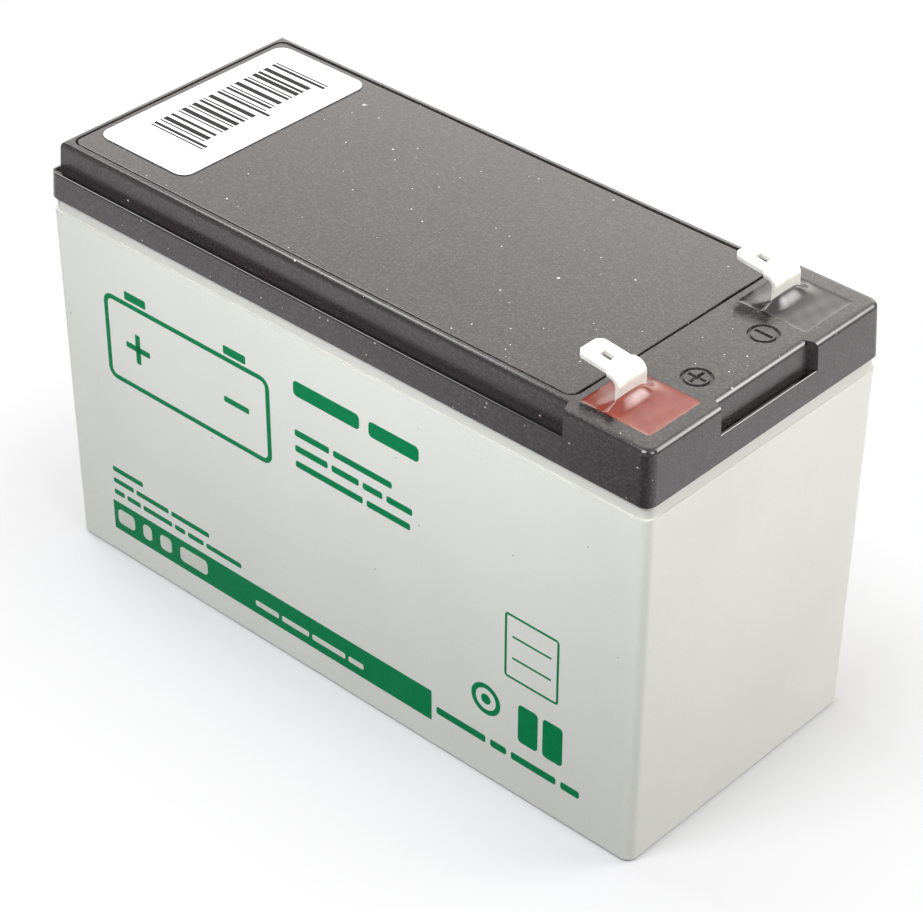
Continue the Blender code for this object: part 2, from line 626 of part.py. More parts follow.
def build_post(parts, cutters, material, side, name):
    """The lead post: burned to the end strap, flanged under its ring, slotted for the tongue."""
    y = side * POST_Y
    foot = STRAP_TOP + WELD_GAP
    flange_top = DECK_Z - GAP / 2
    profile = [(0.0, POST_TOP), (POST_R, POST_TOP), (POST_R, flange_top), (FLANGE_R, flange_top),
               (FLANGE_R, flange_top - FLANGE_THICK), (POST_R, flange_top - FLANGE_THICK), (POST_R, foot),
               (0.0, foot)]
    mesh = bpy.data.meshes.new(f"{name}_post")
    mesh.from_pydata([(r, 0.0, z) for r, z in profile], [(i, i + 1) for i in range(len(profile) - 1)], [])
    post = bpy.data.objects.new(mesh.name, mesh)
    parts.objects.link(post)
    post.location = (POST_X, y, 0.0)
    screw = post.modifiers.new("turned", "SCREW")
    screw.steps = ROUND_STEPS
    screw.render_steps = ROUND_STEPS
    screw.use_merge_vertices = True
    screw.merge_threshold = 0.00001
    mesh.materials.append(material)
    low = (POST_X - POST_SLOT / 2, y - 2 * POST_R, POST_TOP - POST_SLOT_DEPTH)
    high = (POST_X + POST_SLOT / 2, y + 2 * POST_R, POST_TOP + OVERCUT)
    boolean(post, add_object(f"{name}_post_slot", box_mesh(low, high), cutters))


def build_ring(parts, material, side, name):
    """The rubber ring between the post's flange and the lid."""
    mesh = bpy.data.meshes.new(f"{name}_o_ring")
    major = POST_R + GAP + RING_SECTION_R
    centre = (major, DECK_Z + RING_SECTION_R + GAP / 3)
    section = arc(centre, RING_SECTION_R, math.pi / 2, -3 * math.pi / 2, 8)[:-1]
    count = len(section)
    mesh.from_pydata([(r, 0.0, z) for r, z in section], [(i, (i + 1) % count) for i in range(count)], [])
    ring = bpy.data.objects.new(mesh.name, mesh)
    parts.objects.link(ring)
    ring.location = (POST_X, side * POST_Y, 0.0)
    screw = ring.modifiers.new("turned", "SCREW")
    screw.steps = ROUND_STEPS
    screw.render_steps = ROUND_STEPS
    screw.use_merge_vertices = True
    screw.merge_threshold = 0.00001
    mesh.materials.append(material)


def build_epoxy(parts, cutters, material, side, name):
    """Sealing resin in the well, drawn up in a hump along the leg of the tab."""
    y = side * POST_Y
    y0, y1 = sorted((side * (WELL_INNER + GAP), side * (WELL_OUTER - GAP)))
    top = LID_TOP - EPOXY_SINK
    bm = box_mesh((WELL_START + GAP, y0, WELL_FLOOR + GAP), (WELL_END - GAP, y1, top), WELL_R, 2)
    epoxy = add_object(f"{name}_epoxy", bm, parts, material)
    bm = bmesh.new()
    place = Matrix.Translation((LEG_X, y, top))
    place = place @ Matrix.Diagonal((HUMP_HALF_X, HUMP_HALF_Y, HUMP_RISE + EPOXY_SINK, 1.0))
    bmesh.ops.create_uvsphere(bm, u_segments=16, v_segments=8, radius=1.0, matrix=place)
    boolean(epoxy, add_object(f"{name}_hump", bm, cutters), "UNION")
    half_x, half_y = TAB_THICK / 2 + GAP, SHOULDER_WIDTH / 2 + GAP
    bm = box_mesh((POST_X - half_x, y - half_y, POST_TOP), (POST_X + half_x, y + half_y, BEND_Z))
    boolean(epoxy, add_object(f"{name}_leg_sleeve", bm, cutters))
    bm = bmesh.new()
    add_cylinder(bm, (POST_X, y, WELL_FLOOR), POST_R + GAP, 2 * (POST_STAND + GAP))
    boolean(epoxy, add_object(f"{name}_post_sleeve", bm, cutters))


# Plate groups.

def plate_offsets(count):
    """Y of each plate of one polarity from the middle of its cell."""
    return [(k - (count - 1) / 2) * PLATE_PITCH for k in range(count)]


def build_plates(parts, cutters, material, index, positive):
    """The plates of one polarity in a cell, cast to their strap, with an upright for the next cell."""
    x, y, row = cell_centre(index)
    hand = -row if positive else row
    thick = POSITIVE_THICK if positive else NEGATIVE_THICK
    name = f"{'positive' if positive else 'negative'}_plates_{index}"
    half = PLATE_WIDTH / 2
    lug = sorted((x + hand * LUG_INNER, x + hand * LUG_OUTER))
    outline = [(x - half, PLATE_FOOT), (x + half, PLATE_FOOT), (x + half, PLATE_TOP), (lug[1], PLATE_TOP),
               (lug[1], STRAP_Z + SET_IN), (lug[0], STRAP_Z + SET_IN), (lug[0], PLATE_TOP),
               (x - half, PLATE_TOP)]
    ends = sorted((x + hand * STRAP_START, x + hand * STRAP_END))
    bm = box_mesh((ends[0], y - STRAP_HALF, STRAP_Z), (ends[1], y + STRAP_HALF, STRAP_TOP))
    group = add_object(name, bm, parts, material)
    count = POSITIVES if positive else NEGATIVES
    for number, offset in enumerate(plate_offsets(count)):
        bm = outline_mesh(name, outline, y + offset - thick / 2, y + offset + thick / 2, "XZ")
        boolean(group, add_object(f"{name}_sheet_{number}", bm, cutters), "UNION")
    link_index = index - 1 if positive else index
    if 1 <= link_index < 2 * COLUMNS:
        (lx, ly, _), axis = link_place(link_index)
        near = PARTITION / 2 + WALL_CLEAR
        far = near + UPRIGHT_THICK
        wide = UPRIGHT_WIDTH / 2
        if axis == "X":
            toward = math.copysign(1.0, x - lx)
            x0, x1 = sorted((lx + toward * near, lx + toward * far))
            low, high = (x0, ly - wide, STRAP_TOP - SET_IN), (x1, ly + wide, UPRIGHT_TOP)
        else:
            toward = math.copysign(1.0, y - ly)
            y0, y1 = sorted((toward * near, toward * far))
            low, high = (lx - wide, y0, STRAP_TOP - SET_IN), (lx + wide, y1, UPRIGHT_TOP)
        boolean(group, add_object(f"{name}_upright", box_mesh(low, high), cutters), "UNION")


def build_separator(parts, material, index):
    """One glass mat folded to and fro between the plates of a cell."""
    x, y, _ = cell_centre(index)
    reach = CELL_X / 2 - WALL_CLEAR - MAT_THICK / 2
    layers = []
    for offset in plate_offsets(POSITIVES):
        step = POSITIVE_THICK / 2 + GAP + MAT_THICK / 2
        layers += [y + offset - step, y + offset + step]
    path = []
    for number, level in enumerate(layers):
        ends = (x - reach, x + reach) if number % 2 == 0 else (x + reach, x - reach)
        path += [(ends[0], level), (ends[1], level)]
    bm = outline_mesh("mat", thick_path(path, MAT_THICK), PLATE_FOOT, PLATE_TOP + MAT_RISE, "XY")
    add_object(f"separator_{index}", bm, parts, material)


def build_link(parts, material, index):
    """The lead slug welded through a partition between two uprights."""
    place, axis = link_place(index)
    bm = bmesh.new()
    add_cylinder(bm, place, LINK_HOLE_R - GAP, PARTITION + 2 * (WALL_CLEAR - WELD_GAP), axis)
    add_object(f"cell_link_{index}", bm, parts, material)


def main():
    """Builds every piece of the battery."""
    clear_scene()
    parts = new_collection("sealed_battery")
    cutters = new_collection("cutters")
    case = make_material("container_abs", (0.70, 0.70, 0.66), 0.4)
    cap = make_material("lid_abs", (0.10, 0.09, 0.09), 0.4)
    rubber = make_material("valve_rubber", (0.03, 0.03, 0.03), 0.7)
    tin = make_material("tinned_tab", (0.85, 0.85, 0.83), 0.3, 1.0)
    lead = make_material("lead", (0.30, 0.31, 0.33), 0.5, 1.0)
    red = make_material("red_resin", (0.50, 0.12, 0.09), 0.2)
    black = make_material("black_resin", (0.05, 0.05, 0.05), 0.2)
    brown = make_material("positive_paste", (0.12, 0.05, 0.03), 0.8)
    grey = make_material("negative_paste", (0.25, 0.26, 0.27), 0.8)
    glass = make_material("glass_mat", (0.85, 0.85, 0.82), 0.9)
    paper = make_material("sticker_paper", (0.92, 0.92, 0.92), 0.5)

    build_container(parts, cutters, case)
    build_lid(parts, cutters, cap)
    build_cover(parts, cap)
    build_label(parts, paper)
    for number, place in enumerate(vent_places(), 1):
        build_valve(parts, rubber, number, place)
    for side, name, resin in ((-1, "positive", red), (1, "negative", black)):
        build_tab(parts, cutters, tin, side, name)
        build_post(parts, cutters, lead, side, name)
        build_ring(parts, rubber, side, name)
        build_epoxy(parts, cutters, resin, side, name)
    for index in range(1, 2 * COLUMNS + 1):
        build_plates(parts, cutters, brown, index, True)
        build_plates(parts, cutters, grey, index, False)
        build_separator(parts, glass, index)
    for index in range(1, 2 * COLUMNS):
        build_link(parts, lead, index)


main()
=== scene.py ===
"""Looks of a sealed lead acid battery: finishes, print, sticker, seals and tabs, with studio and camera.

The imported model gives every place. Sizes below are real ones in millimetres, and meshes are in metres.
"""
import logging
import math
from collections.abc import Callable
from dataclasses import dataclass
from enum import Enum

import bmesh
import bpy
import numpy as np
from bpy.types import Camera, Light, Material, Mesh, Node, NodeSocket, NodeTree, Object
from mathutils import Matrix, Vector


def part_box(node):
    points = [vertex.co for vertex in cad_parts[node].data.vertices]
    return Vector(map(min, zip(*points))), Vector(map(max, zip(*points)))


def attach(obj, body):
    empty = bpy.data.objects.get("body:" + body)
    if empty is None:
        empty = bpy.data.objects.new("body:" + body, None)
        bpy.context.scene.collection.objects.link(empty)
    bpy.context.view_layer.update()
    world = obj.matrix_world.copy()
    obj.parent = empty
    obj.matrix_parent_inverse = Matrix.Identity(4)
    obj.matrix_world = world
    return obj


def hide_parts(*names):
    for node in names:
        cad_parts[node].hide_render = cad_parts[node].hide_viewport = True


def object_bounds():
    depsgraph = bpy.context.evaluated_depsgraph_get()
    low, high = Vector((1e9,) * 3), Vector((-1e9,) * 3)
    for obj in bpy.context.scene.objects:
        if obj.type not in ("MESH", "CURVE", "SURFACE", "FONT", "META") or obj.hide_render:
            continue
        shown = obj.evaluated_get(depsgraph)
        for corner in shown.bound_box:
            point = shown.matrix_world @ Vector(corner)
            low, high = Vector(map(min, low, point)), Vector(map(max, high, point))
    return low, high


# Two numbers, the numbers of a place, and what lays flat points and a height (0 base, 1 top) in space.
Pair = tuple[float, float]
Place = tuple[float, ...]
Lay = Callable[[np.ndarray, float], np.ndarray]

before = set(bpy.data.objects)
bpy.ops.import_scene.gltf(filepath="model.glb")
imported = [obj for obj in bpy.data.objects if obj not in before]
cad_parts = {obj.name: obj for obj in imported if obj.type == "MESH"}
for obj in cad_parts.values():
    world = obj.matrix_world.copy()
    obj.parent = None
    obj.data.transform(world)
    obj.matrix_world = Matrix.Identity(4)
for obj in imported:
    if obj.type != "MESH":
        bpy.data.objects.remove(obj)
CAD_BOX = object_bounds()

MM = 0.001
LOG = logging.getLogger("battery")


class Polarity(Enum):
    """Which terminal a piece belongs to, by the word that its nodes' names start with."""

    POSITIVE = "positive"
    NEGATIVE = "negative"


# Colour and node helpers.

def linear(code: str) -> tuple[float, float, float, float]:
    """Turns an sRGB hex colour to linear values.

    Args:
        code: six hex digits.

    Returns:
        Red, green and blue from 0 to 1, and full opacity.
    """
    parts = [int(code[i:i + 2], 16) / 255 for i in (0, 2, 4)]
    values = [p / 12.92 if p <= 0.04045 else ((p + 0.055) / 1.055) ** 2.4 for p in parts]
    return (*values, 1.0)


def blotches(place: NodeSocket | Node, size_mm: float, detail: float = 2.0) -> dict[str, object]:
    """What feeds a noise that has blotches of a size on coordinates in metres, with finer octaves."""
    return {"Vector": place, "Scale": 1 / (size_mm * MM), "Detail": detail, "Roughness": 0.55}


def feed(tree: NodeTree, target: Node, inputs: dict | tuple) -> None:
    """Gives a node's inputs their links or values.

    Args:
        tree: the tree that the node is in.
        target: the node.
        inputs: for each input's name or number, or for the first ones in order, a node or a socket to link
            from or a plain value.
    """
    for key, value in inputs.items() if isinstance(inputs, dict) else enumerate(inputs):
        if isinstance(value, Node):
            value = next(socket for socket in value.outputs if socket.enabled)
        if isinstance(value, NodeSocket):
            tree.links.new(value, target.inputs[key])
        else:
            target.inputs[key].default_value = value


def node(tree: NodeTree, kind: str, inputs: dict | tuple = (), **settings: object) -> Node:
    """Adds a node with its settings and its links or values.

    Args:
        tree: the node tree.
        kind: Blender's type name of the node, without its first words.
        inputs: what feeds its inputs.
        settings: the node's own properties.

    Returns:
        The new node.
    """
    new = tree.nodes.new(f"ShaderNode{kind}")
    for name, value in settings.items():
        setattr(new, name, value)
    feed(tree, new, inputs)
    return new


def specks(tree: NodeTree, place: NodeSocket, pitch_mm: float, radius_mm: float, share: float) -> Node:
    """Scattered round specks: one cell in so many holds one.

    Args:
        tree: the node tree.
        place: the coordinates.
        pitch_mm: distance between the places where a speck may lie.
        radius_mm: radius of a speck.
        share: share of those places that hold one.

    Returns:
        A mask, 1 on a speck.
    """
    cells = node(tree, "TexVoronoi", {"Vector": place, "Scale": 1 / (pitch_mm * MM)})
    chosen = node(tree, "SeparateColor", {"Color": cells.outputs["Color"]})
    kept = node(tree, "Math", (chosen.outputs[0], share), operation="LESS_THAN")
    reach = node(tree, "Math", (chosen.outputs[1], radius_mm / pitch_mm), operation="MULTIPLY")
    inside = node(tree, "Math", (cells.outputs["Distance"], reach), operation="LESS_THAN")
    return node(tree, "Math", (kept, inside), operation="MULTIPLY")


def clouded(tree: NodeTree, place: NodeSocket | Node, size_mm: float, detail: float,
            span: Pair, tones: tuple[str, str]) -> tuple[Node, Node]:
    """Two tones that cloud into each other.

    Args:
        tree: the node tree.
        place: the coordinates.
        size_mm: size of the clouds.
        detail: how many finer octaves they have.
        span: the noise's values where the first tone ends and where the second is full.
        tones: the two colours, as hex digits.

    Returns:
        The mask, 1 in the second tone, and the colour.
    """
    noise = node(tree, "TexNoise", blotches(place, size_mm, detail))
    mask = node(tree, "MapRange", (noise, *span))
    return mask, node(tree, "Mix", {0: mask, 6: linear(tones[0]), 7: linear(tones[1])}, data_type="RGBA")


def relief(tree: NodeTree, place: NodeSocket | Node, size_mm: float, depth_mm: float,
           detail: float = 2.0) -> Node:
    """A shallow relief, as a moulded, cast or rolled skin has.

    Args:
        tree: the node tree.
        place: the coordinates.
        size_mm: size of its pits.
        depth_mm: their depth.
        detail: how many finer octaves it has.

    Returns:
        The normal that it gives.
    """
    noise = node(tree, "TexNoise", blotches(place, size_mm, detail))
    return node(tree, "Bump", {"Height": noise, "Distance": depth_mm * MM})


def new_material(name: str) -> tuple[Material, NodeTree, Node, NodeSocket]:
    """Starts a material.

    Args:
        name: its name.

    Returns:
        The material, its tree, its principled shader, and the object coordinates to lay patterns on.
    """
    material = bpy.data.materials.new(name)
    material.use_nodes = True
    tree = material.node_tree
    return material, tree, tree.nodes["Principled BSDF"], node(tree, "TexCoord").outputs["Object"]


# Finishes.

@dataclass(frozen=True)
class MouldedABS:
    """ABS, injection moulded in a lightly spark-eroded mould: satin, with a fine even grain.

    The eye sees a soft sheen that breaks up in the grain, slow changes of tone where the melt cooled
    unevenly, and settled dust. Level faces below sunk_mm, such as steps and grooves, have their own polish,
    because the mould's eroding doesn't reach them, and a darker colour, which is painted shade. Above neck_mm
    the wall takes a share of that painted shade, for the shade under the lid's skirt. Upright faces take a
    share of a paler colour, which is a painted sheen. The grain is coarser than the real one, of about
    0.1 mm, so that the camera can see it.
    """

    name: str
    colour: str
    tone: str
    dust_colour: str
    roughness: float
    grain_mm: float
    grain_depth_mm: float
    dust_share: float
    dust_radius_mm: float
    wall_roughness: float
    film: float
    sunk_mm: float
    # The darker colour below is painted shade, for the sunk level faces and the neck.
    painted_shade_colour: str
    sunk_roughness: float
    neck_mm: float
    neck_shade_share: float
    # The paler colour below is a painted sheen on upright faces.
    wall_sheen_colour: str
    wall_sheen_share: float
    ior: float = 1.53
    dust_pitch_mm: float = 1.9
    dust_cover: float = 0.7
    grit_pitch_mm: float = 7.0
    grit_size: float = 1.9
    tone_mm: float = 38.0
    handling_mm: float = 14.0

    def tint(self, tree: NodeTree, place: NodeSocket, facing: NodeSocket, level: NodeSocket,
             dirt: Node, sunk: Node) -> Node:
        """Base colour: slow tones, a film of dust, specks, then a painted sheen on upright faces,
        and painted shade on the steps and the neck.

        Args:
            tree: the node tree.
            place: object coordinates.
            facing: the normal's Z.
            level: the point's Z.
            dirt: the specks' mask.
            sunk: the mask of level faces below the top.

        Returns:
            The node that gives the colour.
        """
        _, base = clouded(tree, place, self.tone_mm, 3.0, (0.35, 0.68), (self.colour, self.tone))
        fine = node(tree, "TexNoise", blotches(place, self.grain_mm, 3.0))
        fine = node(tree, "MapRange", (fine, 0.46, 0.68, 0.0, self.film))
        cover = node(tree, "Math", (dirt, self.dust_cover), operation="MULTIPLY")
        # A painted sheen: upright faces take a share of the paler wall colour.
        upright = node(tree, "MapRange", (facing, 0.2, 0.5, self.wall_sheen_share, 0.0))
        # Painted shade: the neck and the sunk level faces take a share of the darker colour.
        neck = node(tree, "Math", (level, self.neck_mm * MM), operation="GREATER_THAN")
        neck = node(tree, "Math", (neck, self.neck_shade_share), operation="MULTIPLY")
        shade_mask = node(tree, "Math", (sunk, neck), operation="MAXIMUM")
        for share, colour in ((fine, self.dust_colour), (cover, self.dust_colour),
                              (upright, self.wall_sheen_colour), (shade_mask, self.painted_shade_colour)):
            base = node(tree, "Mix", {0: share, 6: base, 7: linear(colour)}, data_type="RGBA")
        return base

    def gloss(self, tree: NodeTree, place: NodeSocket, facing: NodeSocket, dirt: Node, sunk: Node) -> Node:
        """Roughness: that of the top or the walls, plus handling marks and specks, but the steps' own.

        Args:
            tree: the node tree.
            place: object coordinates.
            facing: the normal's Z.
            dirt: the specks' mask.
            sunk: the mask of level faces below the top.

        Returns:
            The node that gives the roughness.
        """
        flat = node(tree, "MapRange", (facing, 0.4, 0.95, self.wall_roughness, self.roughness))
        handled = node(tree, "TexNoise", blotches(place, self.handling_mm, 4.0))
        handled = node(tree, "MapRange", (handled, 0.3, 0.7, -0.03, 0.04))
        specked = node(tree, "Math", (dirt, 0.3, handled), operation="MULTIPLY_ADD")
        rough = node(tree, "Math", (flat, specked), operation="ADD")
        return node(tree, "Mix", {0: sunk, 2: rough, 3: self.sunk_roughness})

    def make(self) -> Material:
        """Builds the material."""
        material, tree, shader, place = new_material(self.name)
        level = node(tree, "SeparateXYZ", (place,)).outputs["Z"]
        facing = node(tree, "SeparateXYZ", (node(tree, "NewGeometry").outputs["Normal"],)).outputs["Z"]
        dust = specks(tree, place, self.dust_pitch_mm, self.dust_radius_mm, self.dust_share)
        grit = specks(tree, place, self.grit_pitch_mm, self.dust_radius_mm * self.grit_size, self.dust_share)
        dirt = node(tree, "Math", (dust, grit), operation="MAXIMUM")
        below = node(tree, "Math", (level, self.sunk_mm * MM), operation="LESS_THAN")
        up = node(tree, "MapRange", (facing, 0.3, 0.6))
        sunk = node(tree, "Math", (below, up), operation="MULTIPLY")
        grain = node(tree, "TexNoise", blotches(place, self.grain_mm))
        eroded = node(tree, "Math", (1.0, sunk), operation="SUBTRACT")
        grain = node(tree, "Math", (grain, eroded), operation="MULTIPLY")
        pitted = node(tree, "Bump", {"Height": grain, "Distance": self.grain_depth_mm * MM})
        feed(tree, shader, {"Base Color": self.tint(tree, place, facing, level, dirt, sunk),
                            "Roughness": self.gloss(tree, place, facing, dirt, sunk),
                            "IOR": self.ior, "Normal": pitted})
        return material


@dataclass(frozen=True)
class PouredResin:
    """Epoxy resin, poured and cured: a deep colour under a smooth glossy skin with slight ripples.

    The skin mirrors the room, so the colour shows pale where it mirrors something bright.
    """

    name: str
    colour: str
    cloud: str
    roughness: float = 0.15
    bubble_pitch_mm: float = 1.1
    bubble_radius_mm: float = 0.14
    bubble_share: float = 0.12

    def make(self) -> Material:
        """Builds the material."""
        material, tree, shader, place = new_material(self.name)
        _, base = clouded(tree, place, 3.0, 3.0, (0.35, 0.7), (self.colour, self.cloud))
        bubbles = specks(tree, place, self.bubble_pitch_mm, self.bubble_radius_mm, self.bubble_share)
        bubbles = node(tree, "Math", (bubbles, 0.5), operation="MULTIPLY")
        base = node(tree, "Mix", {0: bubbles, 6: base, 7: linear("F0E6DC")}, data_type="RGBA")
        cured = node(tree, "TexNoise", blotches(place, 0.9, 3.0))
        rough = node(tree, "MapRange", (cured, 0.3, 0.7, self.roughness - 0.03, self.roughness + 0.05))
        feed(tree, shader, {"Base Color": base, "Roughness": rough, "IOR": 1.55,
                            "Normal": relief(tree, place, 1.6, 0.012)})
        return material


@dataclass(frozen=True)
class TinPlate:
    """Brass strip, stamped and tin plated: bright and a little milky, with fine marks from the press."""

    name: str
    colour: str = "E6E5DD"
    dull: str = "D6D5CC"
    roughness: float = 0.42
    metal: float = 0.35

    def make(self) -> Material:
        """Builds the material."""
        material, tree, shader, place = new_material(self.name)
        along = node(tree, "Mapping", {"Vector": place, "Scale": (1.0, 9.0, 9.0)})
        drawn = node(tree, "TexNoise", blotches(along, 6.0, 4.0))
        _, base = clouded(tree, place, 2.4, 3.0, (0.35, 0.7), (self.colour, self.dull))
        rough = node(tree, "MapRange", (drawn, 0.3, 0.7, self.roughness - 0.06, self.roughness + 0.1))
        feed(tree, shader, {"Base Color": base, "Metallic": self.metal, "Roughness": rough,
                            "Normal": relief(tree, along, 6.0, 0.006, 4.0)})
        return material


@dataclass(frozen=True)
class CloudedSkin:
    """A skin of two tones that cloud into each other, each with its roughness, and a shallow relief."""

    name: str
    colour: str
    tone: str
    cloud_mm: float = 1.5
    cloud_detail: float = 5.0
    span: Pair = (0.3, 0.7)
    rough: Pair = (0.4, 0.52)
    relief_mm: float = 0.3
    depth_mm: float = 0.004
    relief_detail: float = 2.0
    stretch: tuple[float, float, float] = (1.0, 1.0, 1.0)
    metal: float = 0.0
    sheen: float = 0.5

    def make(self) -> Material:
        """Builds the material."""
        material, tree, shader, place = new_material(self.name)
        place = node(tree, "Mapping", {"Vector": place, "Scale": self.stretch})
        mask, base = clouded(tree, place, self.cloud_mm, self.cloud_detail, self.span,
                             (self.colour, self.tone))
        skin = relief(tree, place, self.relief_mm, self.depth_mm, self.relief_detail)
        feed(tree, shader, {"Base Color": base, "Metallic": self.metal, "Normal": skin,
                            "Roughness": node(tree, "MapRange", (mask, 0.0, 1.0, *self.rough)),
                            "Specular IOR Level": self.sheen})
        return material


@dataclass(frozen=True)
class CastLead(CloudedSkin):
    """Lead, cast and burned: dull blue grey with a frosted skin and oxide bloom."""

    colour: str = "8B8E93"
    tone: str = "6A6C70"
    cloud_mm: float = 2.2
    span: Pair = (0.35, 0.65)
    rough: Pair = (0.38, 0.62)
    relief_mm: float = 0.7
    depth_mm: float = 0.03
    relief_detail: float = 3.0
    metal: float = 0.9


@dataclass(frozen=True)
class PastedGrid:
    """Active paste pressed into a cast lead grid: matt and earthy, with the grid's bars standing out."""

    name: str
    paste: str
    bar: str
    pitch_mm: float = 6.5
    bar_mm: float = 0.5

    def make(self) -> Material:
        """Builds the material."""
        material, tree, shader, place = new_material(self.name)
        parts = node(tree, "SeparateXYZ", (place,))
        upright = node(tree, "CombineXYZ", (parts.outputs["X"], parts.outputs["Z"]))
        pitch = self.pitch_mm * MM
        bars = node(tree, "TexBrick",
                    {"Vector": upright, "Scale": 1.0, "Mortar Size": self.bar_mm * MM, "Brick Width": pitch,
                     "Row Height": pitch, "Mortar Smooth": 0.3}, offset=0.0).outputs["Fac"]
        crumb = node(tree, "TexNoise", blotches(place, 1.2, 6.0))
        mixed = node(tree, "MapRange", (crumb, 0.3, 0.7, 0.0, 0.4))
        base = linear(self.paste)
        for share in (mixed, bars):
            base = node(tree, "Mix", {0: share, 6: base, 7: linear(self.bar)}, data_type="RGBA")
        rough = node(tree, "MapRange", (crumb, 0.0, 1.0, 0.7, 0.95))
        height = node(tree, "Math", (crumb, bars), operation="ADD")
        proud = node(tree, "Bump", {"Height": height, "Distance": 0.12 * MM})
        feed(tree, shader, {"Base Color": base, "Roughness": rough, "Normal": proud})
        return material


@dataclass(frozen=True)
class GlassMat(CloudedSkin):
    """Absorbent mat of fine glass fibres: soft white, with fibres that lie every way in the sheet.

    The fibres are drawn coarser than the real ones, of a few thousandths of a millimetre, so that they show.
    """

    colour: str = "ECEBE4"
    tone: str = "CFCEC6"
    cloud_mm: float = 1.4
    cloud_detail: float = 6.0
    rough: Pair = (0.95, 0.95)
    relief_mm: float = 1.4
    depth_mm: float = 0.08
    relief_detail: float = 6.0
    stretch: tuple[float, float, float] = (1.0, 6.0, 4.0)


@dataclass(frozen=True)
class MouldedRubber(CloudedSkin):
    """Valve rubber, moulded and dusted with talc: matt black with a faint grey bloom."""

    colour: str = "1E1E1F"
    tone: str = "3A3A3A"
    cloud_mm: float = 1.8
    span: Pair = (0.45, 0.75)
    rough: Pair = (0.6, 0.85)
    relief_mm: float = 0.4
    depth_mm: float = 0.015


@dataclass(frozen=True)
class CoatedPaper(CloudedSkin):
    """Label paper, coated and calendered: bright white and nearly smooth, with a trace of its fibres."""

    colour: str = "EAEAEA"
    tone: str = "E4E4E3"


@dataclass(frozen=True)
class PrintInk(CloudedSkin):
    """Ink laid on by a screen: even, with slightly thin spots where the mesh let less through."""

    cloud_mm: float = 0.8
    cloud_detail: float = 4.0
    span: Pair = (0.45, 0.8)
    rough: Pair = (0.4, 0.5)
    relief_mm: float = 0.35
    depth_mm: float = 0.006
    sheen: float = 0.06


class Finish(Enum):
    """Every finish of the battery, by the material slot or the piece that it belongs to."""

    # The container's neck band and its neck step take painted shade; its upright faces take no sheen.
    CONTAINER = MouldedABS("container_abs", "E2E3DC", "DDDED6", "77736A", 0.42, 0.5, 0.010, 0.03, 0.2,
                           0.42, 0.03, 90.0, "B4B3AC", 0.5, 78.55, 0.45, "E2E3DC", 0.0)
    # The lid's grooves, steps and marks take painted shade, and its upright faces a light painted sheen.
    LID = MouldedABS("lid_abs", "1C1819", "221E1E", "D8D4CC", 0.16, 0.45, 0.011, 0.5, 0.2, 0.28, 0.05,
                     92.2, "070606", 0.06, 100.0, 0.0, "B4AAB0", 0.025, 1.55)
    RED_RESIN = PouredResin("red_resin", "742F22", "6A271A")
    BLACK_RESIN = PouredResin("black_resin", "252121", "2C2826")
    TIN = TinPlate("tinned_tab")
    LEAD = CastLead("lead")
    POSITIVE_PASTE = PastedGrid("positive_paste", "46261C", "5E544E")
    NEGATIVE_PASTE = PastedGrid("negative_paste", "6E7173", "8B8E92")
    MAT = GlassMat("glass_mat")
    RUBBER = MouldedRubber("valve_rubber")
    PAPER = CoatedPaper("sticker_paper")
    GREEN_INK = PrintInk("green_ink", "007A48", "0C8652")
    BLACK_INK = PrintInk("black_ink", "1C1B1B", "2A2929", rough=(0.35, 0.45))
    PALE_INK = PrintInk("pale_ink", "D9DDD2", "C9D2C4")

    def material(self) -> Material:
        """The material, made on first use."""
        found = bpy.data.materials.get(f"{self.value.name}_finish")
        if found is None:
            found = self.value.make()
            found.name = f"{self.value.name}_finish"
        return found


# Mesh helpers.

def box_mm(name: str) -> tuple[np.ndarray, np.ndarray]:
    """The lowest and the highest corner of a CAD node's box, in millimetres."""
    low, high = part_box(name)
    return np.array(low) / MM, np.array(high) / MM


def grid_faces(rows: int, columns: int, close_columns: bool = False) -> np.ndarray:
    """Quads of a grid of points stored row by row.

    Args:
        rows: number of rows of points.
        columns: number of points in a row.
        close_columns: whether the last column joins the first.

    Returns:
        An array of four indices for each quad.
    """
    index = np.arange(rows * columns).reshape(rows, columns)
    if close_columns:
        index = np.hstack([index, index[:, :1]])
    quads = np.stack([index[:-1, :-1], index[:-1, 1:], index[1:, 1:], index[1:, :-1]], axis=-1)
    return quads.reshape(-1, 4)


def rounded_outline(width: float, height: float, radius: float, steps: int = 5) -> np.ndarray:
    """Outline of a rectangle with round corners: four quarter circles, joined by straight lines.

    Args:
        width: full width.
        height: full height.
        radius: radius of the corners.
        steps: segments in each corner.

    Returns:
        Points round the middle, anticlockwise, one row each.
    """
    turn = np.linspace(0, math.pi / 2, steps + 1)
    quarter = np.arange(4)[:, None] * math.pi / 2 + turn
    sign_a = np.array([1, -1, -1, 1])[:, None]
    sign_b = np.array([1, 1, -1, -1])[:, None]
    a = sign_a * (width / 2 - radius) + radius * np.cos(quarter)
    b = sign_b * (height / 2 - radius) + radius * np.sin(quarter)
    return np.stack([a, b], axis=-1).reshape(-1, 2)


